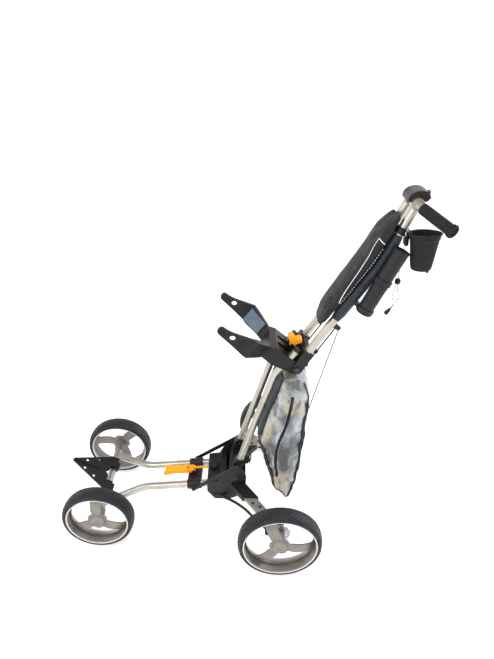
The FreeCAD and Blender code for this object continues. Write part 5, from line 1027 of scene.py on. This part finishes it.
def mesh_bag():
    """The small open net bag: a flared hem round its mouth, soft sides and a rounded floor."""
    low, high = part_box("mesh_bag")
    centre = (low + high) / 2
    # share of the height, then the width and length of the bag there
    rows = (
        (0.00, 0.50, 0.55), (0.01, 0.80, 0.82), (0.05, 0.90, 0.90), (0.2, 0.93, 0.93),
        (0.4, 0.92, 0.93), (0.6, 0.92, 0.94), (0.75, 0.93, 0.95), (0.84, 0.94, 0.955),
        (0.88, 0.99, 0.99), (0.94, 1.0, 1.0), (1.0, 0.985, 0.99),
    )
    around = 96
    half_low = Vector(((high.x - low.x) / 2 - 0.004, (high.y - low.y) / 2 - 0.014))
    half_high = Vector(((high.x - low.x) / 2 - 0.0012, (high.y - low.y) / 2 - 0.0015))
    vertices = []
    for share, wide, long in rows:
        half = half_low.lerp(half_high, share)
        shift = -0.003 * share + 0.0015
        height = low.z + 0.001 + share * (high.z - low.z - 0.002)
        for angle in ring_angles(around):
            fold = noise.noise(Vector((math.cos(angle) * 2.2, math.sin(angle) * 2.2, share * 3)))
            ripple = 1 + 0.11 * fold * math.sin(math.pi * min(1.0, share * 1.1)) - 0.02
            vertices.append(Vector((
                centre.x + math.cos(angle) * half.x * wide * min(1.0, ripple),
                centre.y + shift + math.sin(angle) * half.y * long * min(1.0, ripple),
                height + 0.0015 * fold * (share > 0.9) - 0.0015 * (share > 0.9),
            )))
    faces = tube_faces(len(rows), around)
    faces.append(tuple(reversed(range(around))))
    bag = new_piece("mesh_bag_net", vertices, faces, NET_CLOTH)
    solid = bag.modifiers.new("thickness", "SOLIDIFY")
    solid.thickness = NET_THICKNESS
    solid.offset = -1
    finer(bag)
    tree = tree_of(bag)
    rim = [Vector((
        centre.x + math.cos(angle) * half_high.x,
        centre.y - 0.0015 + math.sin(angle) * half_high.y,
        high.z - 0.0022,
    )) for angle in [2 * math.pi * k / 64 for k in range(65)]]
    hem = sweep("mesh_bag_hem", rim, [HEM_RADIUS] * len(rim), BLACK_CLOTH, 10, Vector((0, 0, 1)))
    lower_hem = [Vector((p.x, p.y, high.z - 0.016)) for p in rim]
    band = ribbon("mesh_bag_band", lower_hem, 0.003, 0.0009, tree, BLACK_CLOTH)
    knob_at = Vector((centre.x, centre.y + 0.020, low.z))
    knob_line = [knob_at + Vector((0, 0, dz * MM)) for dz in (1, -1, -4, -7, -8.5)]
    knob_radii = [0.002, 0.0035, 0.0048, 0.0038, 0.001]
    knob = sweep("mesh_bag_knob", knob_line, knob_radii, NEAR_BLACK, 14)
    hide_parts("mesh_bag")
    for piece in (bag, hem, band, knob):
        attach(piece, "upper_mast")


mesh_bag()


STRING_RADIUS = 0.9 * MM


def tie():
    """The pale string that ties the mesh bag's front to the left upper tube."""
    middle = section_centre("upper_tube_left", 1034 * MM)
    ring = []
    for k in range(33):
        angle = 2 * math.pi * k / 32
        ring.append(middle + Vector((
            math.cos(angle) * 0.0122, math.sin(angle) * 0.0136, 0.004 * math.sin(angle),
        )))
    radii = [STRING_RADIUS] * len(ring)
    loop = sweep("bag_tie_loop", ring, radii, PALE_THREAD, 8, Vector((0, 0, 1)))
    start = middle + Vector((0.0124, 0.004, 0.001))
    ends = []
    for number, step in enumerate((Vector((0.004, 0.016, -0.006)), Vector((0.003, 0.004, -0.016)))):
        sag = start + step * 0.5 + Vector((0.002, 0, 0.003))
        places = evenly(line_points([start, sag, start + step]), 0.002)
        radii = [STRING_RADIUS] * len(places)
        ends.append(sweep(f"bag_tie_end_{number}", places, radii, PALE_THREAD, 8))
    for piece in (loop, *ends):
        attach(piece, "upper_mast")


tie()


# ---------------------------------------------------------------- floor and light

STAGE_REACH = 30.0
STAGE_GLOW = 0.48
WORLD_STRENGTH = 0.56


def stage():
    """A pale floor without end just under the treads, and a far wall round it."""
    reach = STAGE_REACH
    around = 48
    corners = [(-reach, -reach, 0), (reach, -reach, 0), (reach, reach, 0), (-reach, reach, 0)]
    finish = Finish("floor_paint", (0.90, 0.90, 0.90), 0.8)
    finish.blend_colors(finish.cloud(2), 0.3, 0.7, (0.89, 0.89, 0.89), (0.92, 0.92, 0.92))
    finish.shader.inputs["Emission Color"].default_value = lit((1.0, 1.0, 1.0))
    finish.shader.inputs["Emission Strength"].default_value = STAGE_GLOW
    floor = new_piece("floor", corners, [(0, 1, 2, 3)], finish.material, smooth=False)
    floor.location.z = cad_box[0][2] - 2 * RIDGE_HEIGHT
    ring = [(math.cos(a) * reach, math.sin(a) * reach) for a in ring_angles(around)]
    wall_points = [(x, y, -1) for x, y in ring] + [(x, y, reach * 0.6) for x, y in ring]
    wall = new_piece("wall", wall_points, tube_faces(2, around), finish.material)


def area_light(name, place, target, size, power, color):
    """A rectangular light at place, aimed at target."""
    data = bpy.data.lights.new(name, "AREA")
    data.shape = "RECTANGLE"
    data.size, data.size_y = size
    data.energy = power
    data.color = color
    light = collection_add(bpy.data.objects.new(name, data))
    light.location = place
    light.rotation_euler = (Vector(target) - Vector(place)).to_track_quat("-Z", "Y").to_euler()


def light():
    """Soft studio light: a white room, a warm key from the front left and a cool one from above."""
    bpy.context.scene.view_settings.view_transform = "Standard"
    world = bpy.context.scene.world or bpy.data.worlds.new("world")
    bpy.context.scene.world = world
    world.use_nodes = True
    background = world.node_tree.nodes["Background"]
    background.inputs["Color"].default_value = (1.0, 1.0, 1.0, 1)
    background.inputs["Strength"].default_value = WORLD_STRENGTH
    area_light("key", (1.9, -1.5, 2.4), (0, 0, 0.5), (0.9, 0.9), 34, (1.0, 0.95, 0.88))
    area_light("sky", (0.5, 0.3, 3.0), (0, 0, 0.5), (1.6, 1.6), 28, (0.80, 0.91, 1.0))
    area_light("rear", (-0.8, 2.2, 1.6), (0, 0, 0.6), (0.8, 1.6), 20, (0.90, 0.96, 1.0))


stage()
light()
